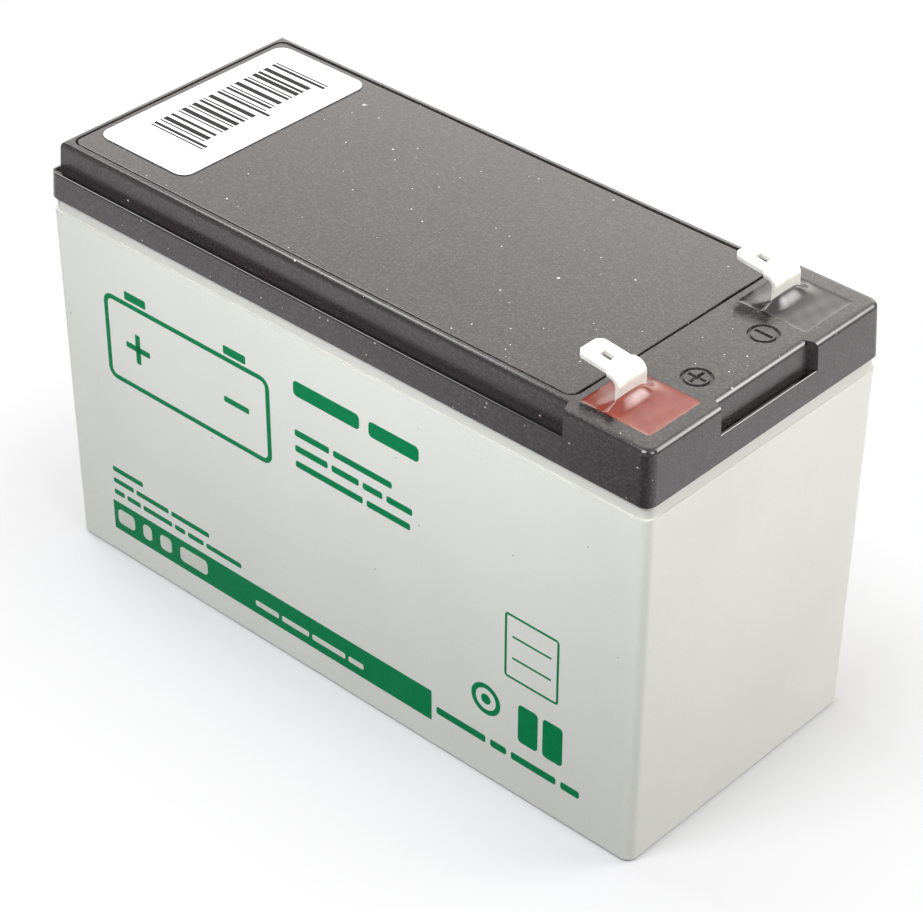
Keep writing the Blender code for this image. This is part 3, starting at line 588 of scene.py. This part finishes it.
class MeshBag:
    """Gathers arrays of points and faces and writes them to one object."""

    def __init__(self, lay: Lay | None = None) -> None:
        """Starts empty.

        Args:
            lay: for thin films, how flat points are laid on a face.
        """
        self.lay = lay
        self.points: list[np.ndarray] = []
        self.faces: list[list[int]] = []
        self.count = 0

    def add(self, points: np.ndarray, faces: np.ndarray | list) -> None:
        """Adds points and the faces between them.

        Args:
            points: one row for each point.
            faces: indices into those points.
        """
        self.points.append(np.asarray(points, float).reshape(-1, 3))
        self.faces += [[int(i) + self.count for i in face] for face in faces]
        self.count += len(self.points[-1])

    def add_film(self, outline: np.ndarray) -> None:
        """Adds a closed film with the given outline: a level top face, a rim and a base.

        Args:
            outline: flat points round the film, anticlockwise.
        """
        total = len(outline)
        ring = grid_faces(2, total, close_columns=True)
        top = [list(range(total, 2 * total))]
        base = [list(range(total))[::-1]]
        self.add(np.vstack([self.lay(outline, 0.0), self.lay(outline, 1.0)]), [*ring.tolist(), *top, *base])

    def add_frame(self, outer: np.ndarray, inner: np.ndarray) -> None:
        """Adds a closed frame between two outlines: a square section carried round.

        Args:
            outer: flat points of the outer outline.
            inner: as many flat points of the inner one.
        """
        section = ((outer, 0.0), (outer, 1.0), (inner, 1.0), (inner, 0.0))
        total = len(outer)
        quads = grid_faces(5, total, close_columns=True)
        quads = np.where(quads >= 4 * total, quads - 4 * total, quads)
        self.add(np.vstack([self.lay(outline, height) for outline, height in section]), quads)

    def build(self, name: str, finish: Finish) -> Object:
        """Writes the object.

        Args:
            name: name of the object and its mesh.
            finish: its finish.

        Returns:
            The object, linked to the scene.
        """
        mesh = bpy.data.meshes.new(name)
        mesh.from_pydata(np.vstack(self.points).tolist(), [], self.faces)
        return link_object(name, mesh, finish)


def new_object(name: str, data: Mesh | Light | Camera) -> Object:
    """Makes an object and puts it in the scene.

    Args:
        name: its name.
        data: its mesh, lamp or camera.

    Returns:
        The object.
    """
    thing = bpy.data.objects.new(name, data)
    bpy.context.scene.collection.objects.link(thing)
    return thing


def link_object(name: str, mesh: Mesh, finish: Finish) -> Object:
    """Puts a mesh in the scene with its faces outwards and its finish on.

    Args:
        name: name of the object.
        mesh: its mesh.
        finish: its finish.

    Returns:
        The object.
    """
    work = bmesh.new()
    work.from_mesh(mesh)
    bmesh.ops.recalc_face_normals(work, faces=work.faces)
    work.to_mesh(mesh)
    work.free()
    mesh.materials.clear()
    mesh.materials.append(finish.material())
    return new_object(name, mesh)


def soften(thing: Object, width_mm: float, segments: int = 2, limit_deg: float = 36.0) -> None:
    """Rounds the sharp edges of a piece and shades it smooth between them.

    Args:
        thing: the piece.
        width_mm: width of the rounding.
        segments: steps in the rounding.
        limit_deg: edges that turn by more than this are rounded.
    """
    thing.data.shade_smooth()
    rounding = thing.modifiers.new("edge_rounding", "BEVEL")
    rounding.width = width_mm * MM
    rounding.segments = segments
    rounding.limit_method = "ANGLE"
    rounding.angle_limit = math.radians(limit_deg)
    thing.modifiers.new("even_shading", "WEIGHTED_NORMAL").keep_sharp = True


def moulded_copy(source: str, name: str, finish: Finish, width_mm: float) -> Object:
    """A copy of a CAD node's faces, merged to one skin and with its sharp edges rounded as moulded ones are.

    Args:
        source: the CAD node.
        name: name of the new piece.
        finish: its finish.
        width_mm: width of the rounding.

    Returns:
        The piece, which stands for the node.
    """
    mesh = bpy.data.meshes.new(name)
    work = bmesh.new()
    work.from_mesh(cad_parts[source].data)
    bmesh.ops.remove_doubles(work, verts=work.verts, dist=0.002 * MM)
    bmesh.ops.dissolve_limit(work, angle_limit=math.radians(1.0), verts=work.verts, edges=work.edges)
    work.to_mesh(mesh)
    work.free()
    for layer in [a for a in mesh.attributes if a.name == "custom_normal"]:
        mesh.attributes.remove(layer)
    thing = link_object(name, mesh, finish)
    soften(thing, width_mm)
    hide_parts(source)
    return thing


def dress(names: list[str], finish: Finish) -> None:
    """Gives CAD nodes a finish.

    Args:
        names: the nodes.
        finish: the finish.
    """
    for name in names:
        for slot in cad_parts[name].material_slots:
            slot.material = finish.material()
        LOG.info("dressed %s in %s", name, finish.value.name)


def place_piece(thing: Object) -> None:
    """Fixes a piece to the battery's root body and logs its name and number of faces.

    Args:
        thing: the piece.
    """
    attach(thing, "root")
    LOG.info("placed %s, %d faces", thing.name, len(thing.data.polygons))


# The case and its print.

@dataclass
class Case:
    """The container, the lid and the cover plate, each a moulded skin."""

    rounding_mm: float = 0.05
    cover_rounding_mm: float = 0.22

    def build(self) -> None:
        """Makes the three skins."""
        for source, name, finish, width in (
                ("container", "container_skin", Finish.CONTAINER, self.rounding_mm),
                ("lid", "lid_skin", Finish.LID, self.rounding_mm),
                ("cover_plate", "cover_skin", Finish.LID, self.cover_rounding_mm)):
            place_piece(moulded_copy(source, name, finish, width))


@dataclass
class FrontPrint:
    """Screen print on the front wall: a band, a plain block pictogram and rules in place of words.

    Each place is an X and a Z on the wall, then a width and a height, the height of a rule or a radius.
    A film's lift is the share of its thickness that it stands off the wall, so that no faces coincide. The
    bag holds the shapes of the piece that is being made.
    """

    film_mm: float = 0.03
    film_lift: float = 0.3
    neck_from_top_mm: float = 4.8
    draft_mm: float = 0.52
    band_left_mm: float = -63.65
    band_right_mm: float = 25.7
    band_low_mm: float = 6.3
    band_high_mm: float = 13.5
    line_mm: float = 1.1
    pictogram_mm: Place = (-38.5, 55.5, 46.0, 20.0)
    heading_mm: Place = (-9.0, 67.0, 3.4)
    text_mm: Place = (-9.0, 56.8, 1.5)
    text_step_mm: float = 3.6
    note_mm: Place = (-63.0, 21.8, 1.2)
    note_step_mm: float = 2.9
    foot_mm: Place = (27.0, 9.6, 1.7)
    field_mm: Place = (50.5, 35.5, 13.0, 15.0)
    dial_mm: Place = (39.5, 19.5, 3.6)
    block_mm: Place = (47.5, 18.5, 4.8, 9.0)
    block_step_mm: float = 6.0
    pale_shapes_mm: Place = (-62.4, 10.0, 3.6)
    pale_rule_mm: Place = (-22.0, 9.0, 1.3)
    bag: MeshBag | None = None

    def wall(self, flat: np.ndarray, height: float) -> np.ndarray:
        """Lays flat points on the drafted front wall.

        The wall's Y is that of its top edge, plus the draft's share of the distance below that edge.

        Args:
            flat: X and Z in millimetres.
            height: 0 on the wall, 1 on the film's face.

        Returns:
            Points in metres.
        """
        low, high = box_mm("container")
        edge_z = high[2] - self.neck_from_top_mm
        wall_y = low[1] + self.draft_mm * (edge_z - flat[:, 1]) / edge_z
        lifted = wall_y - self.film_mm * (height + self.film_lift)
        return np.stack([flat[:, 0], lifted, flat[:, 1]], axis=-1) * MM

    def bar(self, x0: float, x1: float, z: float, tall: float, radius: float) -> None:
        """Adds one bar with round ends.

        Args:
            x0: left end.
            x1: right end.
            z: height of its middle.
            tall: its height.
            radius: radius of its corners.
        """
        self.bag.add_film(rounded_outline(x1 - x0, tall, radius) + ((x0 + x1) / 2, z))

    def words(self, x: float, z: float, tall: float, lengths: tuple[float, ...]) -> None:
        """Adds a rule in pieces, where a printed line would stand.

        Args:
            x: left end.
            z: height of its middle.
            tall: its height.
            lengths: length of each piece.
        """
        for length in lengths:
            self.bar(x, x + length, z, tall, tall * 0.28)
            x += length + tall * 0.7

    def pictogram(self) -> None:
        """Adds a plain block with two lugs, a plus and a minus."""
        x, z, wide, tall = self.pictogram_mm
        line = self.line_mm
        corner, lug_half, lug_tall, lug_lift, sign_half, blunt = 2.4, 3.0, 1.9, 1.5, 3.4, 0.3
        outer = rounded_outline(wide, tall, corner, 8) + (x, z)
        inner = rounded_outline(wide - 2 * line, tall - 2 * line, corner - line, 8) + (x, z)
        self.bag.add_frame(outer, inner)
        for side in (-1, 1):
            lug = x + side * wide * 0.3
            self.bar(lug - lug_half, lug + lug_half, z + tall / 2 + lug_lift, lug_tall, blunt)
            self.bar(lug - sign_half, lug + sign_half, z, line * 1.2, blunt)
        self.bag.add_film(rounded_outline(line * 1.2, 2 * sign_half, blunt) + (x - wide * 0.3, z))

    def field_box(self) -> None:
        """Adds an empty box to write in, with two rules."""
        x, z, wide, tall = self.field_mm
        outer = rounded_outline(wide, tall, 0.8) + (x, z)
        self.bag.add_frame(outer, rounded_outline(wide - 1.0, tall - 1.0, 0.3) + (x, z))
        for step in (-1, 1):
            self.bar(x - wide * 0.36, x + wide * 0.36, z + step * tall / 6, 0.45, 0.15)

    def dial(self) -> None:
        """Adds a plain ring with a disc in it."""
        x, z, radius = self.dial_mm
        turn = np.linspace(0, 2 * math.pi, 40, endpoint=False)
        circle = np.stack([np.cos(turn), np.sin(turn)], axis=-1)
        self.bag.add_frame(circle * radius + (x, z), circle * (radius - self.line_mm) + (x, z))
        self.bag.add_film(circle * (radius - 2.2 * self.line_mm) + (x, z))

    def build(self) -> None:
        """Makes the print as two thin pieces, the second one on the band and twice as far from the wall."""
        self.bag = MeshBag(self.wall)
        middle = (self.band_low_mm + self.band_high_mm) / 2
        tall = self.band_high_mm - self.band_low_mm
        self.bar(self.band_left_mm, self.band_right_mm, middle, tall, 0.15)
        self.pictogram()
        self.words(*self.heading_mm, (17.0, 12.5))
        x, z, tall = self.text_mm
        for row, lengths in enumerate(((9.0, 15.0), (8.5, 7.0, 5.0, 6.5), (17.5, 11.0))):
            self.words(x, z - self.text_step_mm * row, tall, lengths)
        x, z, tall = self.note_mm
        for row, lengths in enumerate(((9.0,), (6.0, 9.5, 11.0), (3.0, 4.0, 8.5, 3.0, 4.5, 10.0))):
            self.words(x, z - self.note_step_mm * row, tall, lengths)
        self.words(*self.foot_mm, (12.5, 4.0, 11.0, 4.5))
        self.field_box()
        self.dial()
        x, z, wide, tall = self.block_mm
        for left in (x, x + self.block_step_mm):
            self.bar(left, left + wide, z, tall, 0.9)
        place_piece(self.bag.build("front_print", Finish.GREEN_INK))
        self.bag = MeshBag(self.wall)
        self.film_mm *= 2
        self.words(*self.pale_shapes_mm, (5.0, 2.6, 3.4, 8.0))
        self.words(*self.pale_rule_mm, (6.5, 7.5, 9.0, 4.0))
        place_piece(self.bag.build("band_print", Finish.PALE_INK))


@dataclass
class Sticker:
    """The bars on the sticker, which run along the lid and stand side by side across it."""

    film_mm: float = 0.02
    start_mm: float = 9.5
    end_mm: float = 45.0
    inset_mm: float = 4.6
    length_mm: float = 12.6
    guard_mm: float = 14.6
    module_mm: float = 0.4
    pitch_modules: float = 3.4
    lift_mm: float = 0.005
    width_turn: float = 0.618034
    gap_turn: float = 0.414214

    def build(self) -> None:
        """Makes the bars.

        Each bar's width is one to three modules, by the fraction of its number times the golden ratio, and
        each gap's one to three, by that of its number times the square root of two. So they say nothing.
        """
        dress(["paper_sticker"], Finish.PAPER)
        low, high = box_mm("paper_sticker")
        count = int((self.end_mm - self.start_mm) / (self.pitch_modules * self.module_mm))
        number = np.arange(count)
        chance = np.modf(number * self.width_turn)[0]
        other = np.modf(number * self.gap_turn + 0.3)[0]
        widths = self.module_mm * (1 + np.floor(chance * 3))
        gaps = self.module_mm * (1 + np.floor(other * 2.4))
        starts = self.start_mm + np.cumsum(widths + gaps) - widths - gaps
        fits = starts + widths < self.end_mm
        guards = (number < 2) | (number >= fits.sum() - 2) | (np.abs(number - fits.sum() // 2) < 1)
        lengths = np.where(guards, self.guard_mm, self.length_mm)

        def lay(flat: np.ndarray, height: float) -> np.ndarray:
            """Lays flat points on the sticker's face."""
            level = np.full(len(flat), high[2] + self.film_mm * height + self.lift_mm)
            return np.stack([flat[:, 0], flat[:, 1], level], axis=-1) * MM

        bag = MeshBag(lay)
        for start, width, length in zip(starts[fits], widths[fits], lengths[fits]):
            middle = (low[0] + self.inset_mm + length / 2, low[1] + start + width / 2)
            bag.add_film(rounded_outline(length, width, 0.04, 1) + middle)
        place_piece(bag.build("sticker_bars", Finish.BLACK_INK))


# The terminals.

@dataclass
class Tab:
    """A push-on tab stamped from strip: a pitched blade with a slot, a bend and a leg.

    The tip's shape is pairs of a distance from the tip and how much narrower each half of the blade is there.
    """

    polarity: Polarity
    thick_mm: float = 0.8
    bend_mm: float = 2.2
    pitch_deg: float = 6.5
    blade_mm: float = 6.35
    shoulder_from_bend_mm: float = 0.8
    shoulder_slope_mm: float = 0.5
    tip_shape_mm: tuple[Pair, ...] = ((0.0, 1.2), (0.35, 0.72), (0.7, 0.36), (1.2, 0.0))
    slot_long_mm: float = 2.5
    slot_wide_mm: float = 1.5
    slot_from_bend_mm: float = 3.85
    tongue_mm: float = 3.2
    tongue_below_lid_mm: float = 0.8
    edge_mm: float = 0.16
    bend_steps: int = 14
    step_mm: float = 0.01

    def path(self, along: np.ndarray, reach: float, drop: float, centre: np.ndarray) -> np.ndarray:
        """Points of the middle line: a straight blade, an arc and a straight leg.

        Args:
            along: distance from the tip.
            reach: length of the blade.
            drop: length of the leg.
            centre: X and Z of the bend's centre.

        Returns:
            X and Z of each point, in millimetres.
        """
        radius = self.bend_mm - self.thick_mm / 2
        pitch = math.radians(self.pitch_deg)
        sweep = math.pi / 2 - pitch
        blade = np.clip(reach - along, 0, None)
        turn = np.clip((along - reach) / radius, 0, sweep)
        leg = np.clip(along - reach - radius * sweep, 0, drop)
        angle = sweep - turn
        x = centre[0] + radius * np.cos(angle) - blade * math.cos(pitch)
        z = centre[1] + radius * np.sin(angle) + blade * math.sin(pitch) - leg
        return np.stack([x, z], axis=-1)

    def build(self) -> None:
        """Makes the tab as a sheet on a grid, thickened and with its blanked edges rounded."""
        low, high = box_mm(f"{self.polarity.value}_tab")
        lid_top = box_mm("lid")[1][2]
        pitch = math.radians(self.pitch_deg)
        radius = self.bend_mm - self.thick_mm / 2
        bend_x = high[0] - self.bend_mm
        lean = (radius - self.thick_mm / 2) * math.sin(pitch)
        reach = (bend_x + lean - low[0]) / math.cos(pitch)
        rise = (radius + self.thick_mm / 2) * math.cos(pitch) + reach * math.sin(pitch)
        centre = np.array([bend_x, high[2] - rise])
        arc = radius * (math.pi / 2 - pitch)
        drop = centre[1] - low[2]
        neck = reach + arc + centre[1] - (lid_top - self.tongue_below_lid_mm)
        half, wide = self.blade_mm / 2, (high[1] - low[1]) / 2
        shoulder = reach - self.shoulder_from_bend_mm
        slot = reach - self.slot_from_bend_mm
        end = reach + arc + drop
        tip_s = [distance for distance, _ in self.tip_shape_mm]
        tip_w = [half - narrower for _, narrower in self.tip_shape_mm]
        marks_s = [*tip_s, slot - self.slot_long_mm / 2, slot + self.slot_long_mm / 2,
                   shoulder - self.shoulder_slope_mm, shoulder, reach]
        bend_s = reach + arc * np.linspace(0, 1, self.bend_steps + 1)[1:]
        rows = np.array([*marks_s, *bend_s, neck, neck + self.step_mm, end])
        profile_s = [*tip_s, shoulder - self.shoulder_slope_mm, shoulder, neck, neck + self.step_mm, end]
        profile_w = [*tip_w, half, wide, wide, self.tongue_mm / 2, self.tongue_mm / 2]
        halves = np.interp(rows, profile_s, profile_w)
        slot_edge = np.full_like(halves, self.slot_wide_mm / 2)
        across = np.stack([-halves, -slot_edge, slot_edge, halves], axis=1)
        line = self.path(rows, reach, drop, centre)
        middle = (low[1] + high[1]) / 2
        points = np.stack([np.broadcast_to(line[:, :1], across.shape), across + middle,
                           np.broadcast_to(line[:, 1:], across.shape)], axis=-1) * MM
        quads = grid_faces(len(rows), 4)
        hole = len(tip_s) * 3 + 1
        bag = MeshBag()
        bag.add(points, np.delete(quads, hole, axis=0))
        tab = bag.build(f"{self.polarity.value}_tab_strip", Finish.TIN)
        thicken = tab.modifiers.new("strip_thickness", "SOLIDIFY")
        thicken.thickness = self.thick_mm * MM
        thicken.offset = 0.0
        thicken.use_even_offset = True
        soften(tab, self.edge_mm, 3, 40.0)
        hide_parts(f"{self.polarity.value}_tab")
        place_piece(tab)


@dataclass
class Seal:
    """Poured resin in a well, with its skin drawn up the walls and up the leg of the tab."""

    polarity: Polarity
    finish: Finish
    wall_gap_mm: float = 0.3
    sink_mm: float = 0.08
    wall_rise_mm: float = 0.07
    wall_reach_mm: float = 0.7
    leg_thick_mm: float = 0.8
    leg_wide_mm: float = 7.4
    hump_reach_mm: float = 1.9
    hump_shift_mm: float = 0.9
    hump_end: float = 0.25
    inner_share: float = 0.3
    ripple_mm: float = 0.015
    clear_mm: float = 0.02
    steps: int = 96

    def skin(self, x: np.ndarray, y: np.ndarray, box: np.ndarray, leg: np.ndarray, rest: float,
             crest: float) -> np.ndarray:
        """Height of the resin's skin.

        It is the rest level, plus a rise that dies away from the walls, plus a hump along the leg. The hump
        falls across the leg as the exponential of minus the square of the distance over the reach, and along
        it as that of minus the fourth power. It is lower on the leg's inner side, with a smooth step between
        the two sides.

        Args:
            x: X of each point.
            y: Y of each point.
            box: lowest and highest X and Y of the well.
            leg: X and Y of the leg's middle.
            rest: rest level.
            crest: level of the top of the hump.

        Returns:
            Z of each point, in millimetres.
        """
        to_wall = np.minimum.reduce([x - box[0, 0], box[1, 0] - x, y - box[0, 1], box[1, 1] - y])
        walls = self.wall_rise_mm * np.exp(-np.clip(to_wall, 0, None) / (self.wall_reach_mm / 2))
        across = np.clip(np.abs(x - leg[0]) - self.leg_thick_mm / 2, 0, None)
        along = (y - leg[1] + self.hump_shift_mm) / (self.leg_wide_mm / 2)
        step = np.clip((x - leg[0]) / self.leg_thick_mm + 0.5, 0, 1)
        side = self.inner_share + (1 - self.inner_share) * step ** 2 * (3 - 2 * step)
        fall = (across / self.hump_reach_mm) ** 2 + self.hump_end * along ** 4
        hump = (crest - rest) * side * np.exp(-fall)
        ripple = self.ripple_mm * np.sin(x * 1.3 + y * 0.7) * np.sin(y * 1.1 - x * 0.4)
        return rest + walls + hump + ripple

    def build(self) -> None:
        """Makes the seal as a closed block under its skin."""
        label = self.polarity.value
        low, high = box_mm(f"{label}_epoxy")
        tab_low, tab_high = box_mm(f"{label}_tab")
        rest = box_mm("lid")[1][2] - self.sink_mm
        grow = self.wall_gap_mm - self.clear_mm
        box = np.array([low[:2] - grow, high[:2] + grow])
        leg = np.array([tab_high[0] - self.leg_thick_mm / 2, (tab_low[1] + tab_high[1]) / 2])
        u = np.linspace(0, 1, self.steps)
        ease = 0.5 - 0.5 * np.cos(math.pi * u)
        share = 0.5 * u + 0.5 * ease
        x, y = np.meshgrid(box[0, 0] + share * (box[1, 0] - box[0, 0]),
                           box[0, 1] + share * (box[1, 1] - box[0, 1]), indexing="ij")
        top = np.stack([x, y, self.skin(x, y, box, leg, rest, high[2])], axis=-1)
        foot = np.stack([x, y, np.full_like(x, low[2])], axis=-1)
        index = np.arange(self.steps ** 2).reshape(self.steps, self.steps)
        rim = np.concatenate([index[0, :-1], index[:-1, -1], index[-1, :0:-1], index[:0:-1, 0]])
        sides = np.stack([rim, np.roll(rim, -1), np.roll(rim, -1) + index.size, rim + index.size], axis=-1)
        quads = grid_faces(self.steps, self.steps)
        bag = MeshBag()
        bag.add(np.concatenate([top.reshape(-1, 3), foot.reshape(-1, 3)]) * MM,
                np.vstack([quads, quads[:, ::-1] + index.size, sides]))
        seal = bag.build(f"{label}_seal", self.finish)
        seal.data.shade_smooth()
        seal.data.set_sharp_from_angle(angle=math.radians(50))
        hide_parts(f"{label}_epoxy")
        place_piece(seal)


@dataclass
class Inside:
    """What the case hides: plates, mats, links, posts, rings and valve caps."""

    cells: int = 6

    def build(self) -> None:
        """Dresses every hidden node."""
        numbers = range(1, self.cells + 1)
        dress([f"positive_plates_{i}" for i in numbers], Finish.POSITIVE_PASTE)
        dress([f"negative_plates_{i}" for i in numbers], Finish.NEGATIVE_PASTE)
        dress([f"separator_{i}" for i in numbers], Finish.MAT)
        dress([f"cell_link_{i}" for i in range(1, self.cells)], Finish.LEAD)
        dress([f"{side.value}_post" for side in Polarity], Finish.LEAD)
        dress([f"{side.value}_o_ring" for side in Polarity], Finish.RUBBER)
        dress([f"valve_cap_{i}" for i in numbers], Finish.RUBBER)


# The studio.

def aim(thing: Object, turn: float, dip: float, roll: float) -> None:
    """Turns a lamp or camera from looking along +Y: about Z, then down, then about its own axis.

    Args:
        thing: the lamp or camera.
        turn: angle about Z in radians, as the other two.
        dip: how far it looks down.
        roll: how far it is turned about its own axis.
    """
    thing.rotation_mode = "QUATERNION"
    turned = Matrix.Rotation(turn, 3, "Z") @ Matrix.Rotation(math.pi / 2 - dip, 3, "X")
    thing.rotation_quaternion = (turned @ Matrix.Rotation(roll, 3, "Z")).to_quaternion()


@dataclass
class Softbox:
    """An area lamp with a diffuser, placed by the direction that its light comes from.

    The diffuser is dimmer towards its edges, and one side and the top of it may be dimmer than the rest.
    """

    name: str
    turn_deg: float
    rise_deg: float
    distance_m: float
    wide_m: float
    tall_m: float
    radiance: float
    dim_side: float = 1.0
    dim_top: float = 1.0
    soft_edge: float = 0.15
    colour: str = "FFFFFF"
    roll_deg: float = 0.0
    dim_side_from: Pair = (0.52, 0.74)
    dim_top_from: Pair = (0.4, 0.55)
    aim_m: float = 0.08

    def shade(self, light: Light) -> None:
        """Lets the lamp's strength fall to its edges, and to its dim side and top.

        Args:
            light: the lamp's data.
        """
        light.use_nodes = True
        tree = light.node_tree
        across = node(tree, "SeparateXYZ", (node(tree, "NewGeometry").outputs["Parametric"],))
        strength = 1.0
        for name, share, (start, end) in (("X", self.dim_side, self.dim_side_from),
                                          ("Y", self.dim_top, self.dim_top_from)):
            dim = node(tree, "MapRange", (across.outputs[name], start, end, 1.0, share))
            strength = node(tree, "Math", (strength, dim), operation="MULTIPLY")
            other = node(tree, "Math", (1.0, across.outputs[name]), operation="SUBTRACT")
            edge = node(tree, "Math", (across.outputs[name], other), operation="MINIMUM")
            edge = node(tree, "MapRange", (edge, 0.0, self.soft_edge))
            strength = node(tree, "Math", (strength, edge), operation="MULTIPLY")
        feed(tree, tree.nodes["Emission"], {"Strength": strength})

    def build(self) -> None:
        """Makes the lamp; its power is the radiance times pi times its area."""
        light = bpy.data.lights.new(self.name, "AREA")
        light.shape = "RECTANGLE"
        light.size = self.wide_m
        light.size_y = self.tall_m
        light.energy = self.radiance * math.pi * self.wide_m * self.tall_m
        light.color = linear(self.colour)[:3]
        self.shade(light)
        lamp = new_object(self.name, light)
        turn, rise = math.radians(self.turn_deg), math.radians(self.rise_deg)
        away = np.array([math.cos(rise) * math.cos(turn), math.cos(rise) * math.sin(turn), math.sin(rise)])
        lamp.location = away * self.distance_m + (0, 0, self.aim_m)
        aim(lamp, turn + math.pi / 2, rise, math.radians(self.roll_deg))
        lamp.visible_camera = False


@dataclass
class Studio:
    """A white floor, a soft sky and the lamps.

    The floor has one colour for the camera, one for the light that it throws back and one for gloss.
    """

    sky: float = 0.2
    floor_colour: str = "E4E4E5"
    bounce_colour: str = "484848"
    seen_colour: str = "BEBEBF"
    card_colour: str = "1A1A1A"
    card_place_m: tuple[float, float, float] = (0.1, -0.17, 0.0)
    card_edge_m: Pair = (0.08, 0.21)
    floor_half_m: float = 4.0
    fade_m: float = 0.047
    shadow_lift: float = 0.1

    def build_world(self) -> None:
        """A plain sky that lights softly and that cameras, metal and gloss see as white."""
        world = bpy.data.worlds.new("studio")
        world.use_nodes = True
        bpy.context.scene.world = world
        tree = world.node_tree
        tree.nodes.clear()
        light = node(tree, "Background", {"Color": linear("FBFCFF"), "Strength": self.sky})
        seen = node(tree, "Background", {"Color": linear("FFFFFF"), "Strength": 1.0})
        ray = node(tree, "LightPath").outputs
        shown = node(tree, "Math", (ray["Is Camera Ray"], ray["Is Glossy Ray"]), operation="MAXIMUM")
        shown = node(tree, "Math", (shown, ray["Is Transmission Ray"]), operation="MAXIMUM")
        mixed = node(tree, "MixShader", (shown, light, seen))
        node(tree, "OutputWorld", {"Surface": mixed})

    def build_floor(self) -> None:
        """Makes a floor that shows the shadow and fades to white, with a dark card that only gloss sees."""
        material, tree, shader, place = new_material("studio_floor")
        ray = node(tree, "LightPath").outputs
        off = node(tree, "VectorMath", (place, self.card_place_m), operation="DISTANCE").outputs["Value"]
        bare = node(tree, "MapRange", (off, self.card_edge_m[0], self.card_edge_m[1]))
        tone = linear(self.card_colour)
        for share, colour in ((bare, self.floor_colour), (ray["Is Diffuse Ray"], self.bounce_colour),
                              (ray["Is Camera Ray"], self.seen_colour)):
            tone = node(tree, "Mix", {0: share, 6: tone, 7: linear(colour)}, data_type="RGBA")
        feed(tree, shader, {"Base Color": tone, "Roughness": 1.0, "Specular IOR Level": 0.0})
        folded = node(tree, "VectorMath", (place,), operation="ABSOLUTE")
        half_box = tuple(CAD_BOX[1])[:2] + (0.0,)
        past = node(tree, "VectorMath", (folded, half_box), operation="SUBTRACT")
        beyond = node(tree, "VectorMath", (past, (0, 0, 0)), operation="MAXIMUM")
        far = node(tree, "VectorMath", (beyond,), operation="LENGTH").outputs["Value"]
        fade = node(tree, "MapRange", (far, 0.0, self.fade_m, self.shadow_lift, 1.0))
        white = node(tree, "Emission", {"Color": linear("FFFFFF"), "Strength": 1.0})
        share = node(tree, "Math", (ray["Is Camera Ray"], fade), operation="MULTIPLY")
        mixed = node(tree, "MixShader", (share, shader, white))
        feed(tree, tree.nodes["Material Output"], {"Surface": mixed})
        half = self.floor_half_m
        side = np.linspace(-half, half, 3)
        x, y = np.meshgrid(side, side, indexing="ij")
        mesh = bpy.data.meshes.new("floor")
        points = np.stack([x, y, np.zeros_like(x)], axis=-1).reshape(-1, 3)
        mesh.from_pydata(points.tolist(), [], grid_faces(3, 3)[:, ::-1].tolist())
        mesh.materials.append(material)
        new_object("floor", mesh)

    def build(self) -> None:
        """Makes the world, the floor and the lamps."""
        self.build_world()
        self.build_floor()
        for lamp in (
                Softbox("back_softbox", 119.0, 34.0, 1.1, 1.5, 1.1, 2.55, 0.6, 0.42, 0.12, "FFFAF2"),
                Softbox("right_softbox", 45.0, 30.0, 0.55, 0.28, 0.6, 16.8, 1.0, 1.0, 0.5, "FFFDFA", -35.0),
                Softbox("end_softbox", -12.0, 35.0, 0.6, 0.35, 0.35, 7.25, 1.0, 1.0, 0.2),
                Softbox("left_softbox", 178.0, 48.0, 0.5, 0.3, 0.3, 8.0, 1.0, 1.0, 0.2),
                Softbox("front_softbox", -86.0, 44.0, 0.3, 0.2, 0.2, 13.7, 1.0, 1.0, 0.2, "FBFCFF")):
            lamp.build()


@dataclass(frozen=True)
class PhotoCamera:
    """The camera of the photograph, fitted to the CAD model's edges."""

    lens_mm: float = 115.765
    sensor_mm: float = 36.0
    x_mm: float = 318.99
    y_mm: float = -346.42
    z_mm: float = 376.54
    turn_deg: float = 42.316
    dip_deg: float = 35.659
    roll_deg: float = 0.443

    def build(self) -> None:
        """Makes the camera and makes it the scene's."""
        data = bpy.data.cameras.new("photo_camera")
        data.lens = self.lens_mm
        data.sensor_fit = "HORIZONTAL"
        data.sensor_width = self.sensor_mm
        data.clip_start = 0.01
        data.clip_end = 20.0
        camera = new_object("photo_camera", data)
        aim(camera, *(math.radians(angle) for angle in (self.turn_deg, self.dip_deg, self.roll_deg)))
        camera.location = (self.x_mm * MM, self.y_mm * MM, self.z_mm * MM)
        bpy.context.scene.camera = camera


def main() -> None:
    """Builds the looks in order."""
    logging.basicConfig(level=logging.INFO, format="%(name)s: %(message)s")
    bpy.context.scene.view_settings.view_transform = "Standard"
    PhotoCamera().build()
    Studio().build()
    Case().build()
    FrontPrint().build()
    Sticker().build()
    for side, finish in ((Polarity.POSITIVE, Finish.RED_RESIN), (Polarity.NEGATIVE, Finish.BLACK_RESIN)):
        Tab(side).build()
        Seal(side, finish).build()
    Inside().build()


if __name__ == "__main__":
    main()
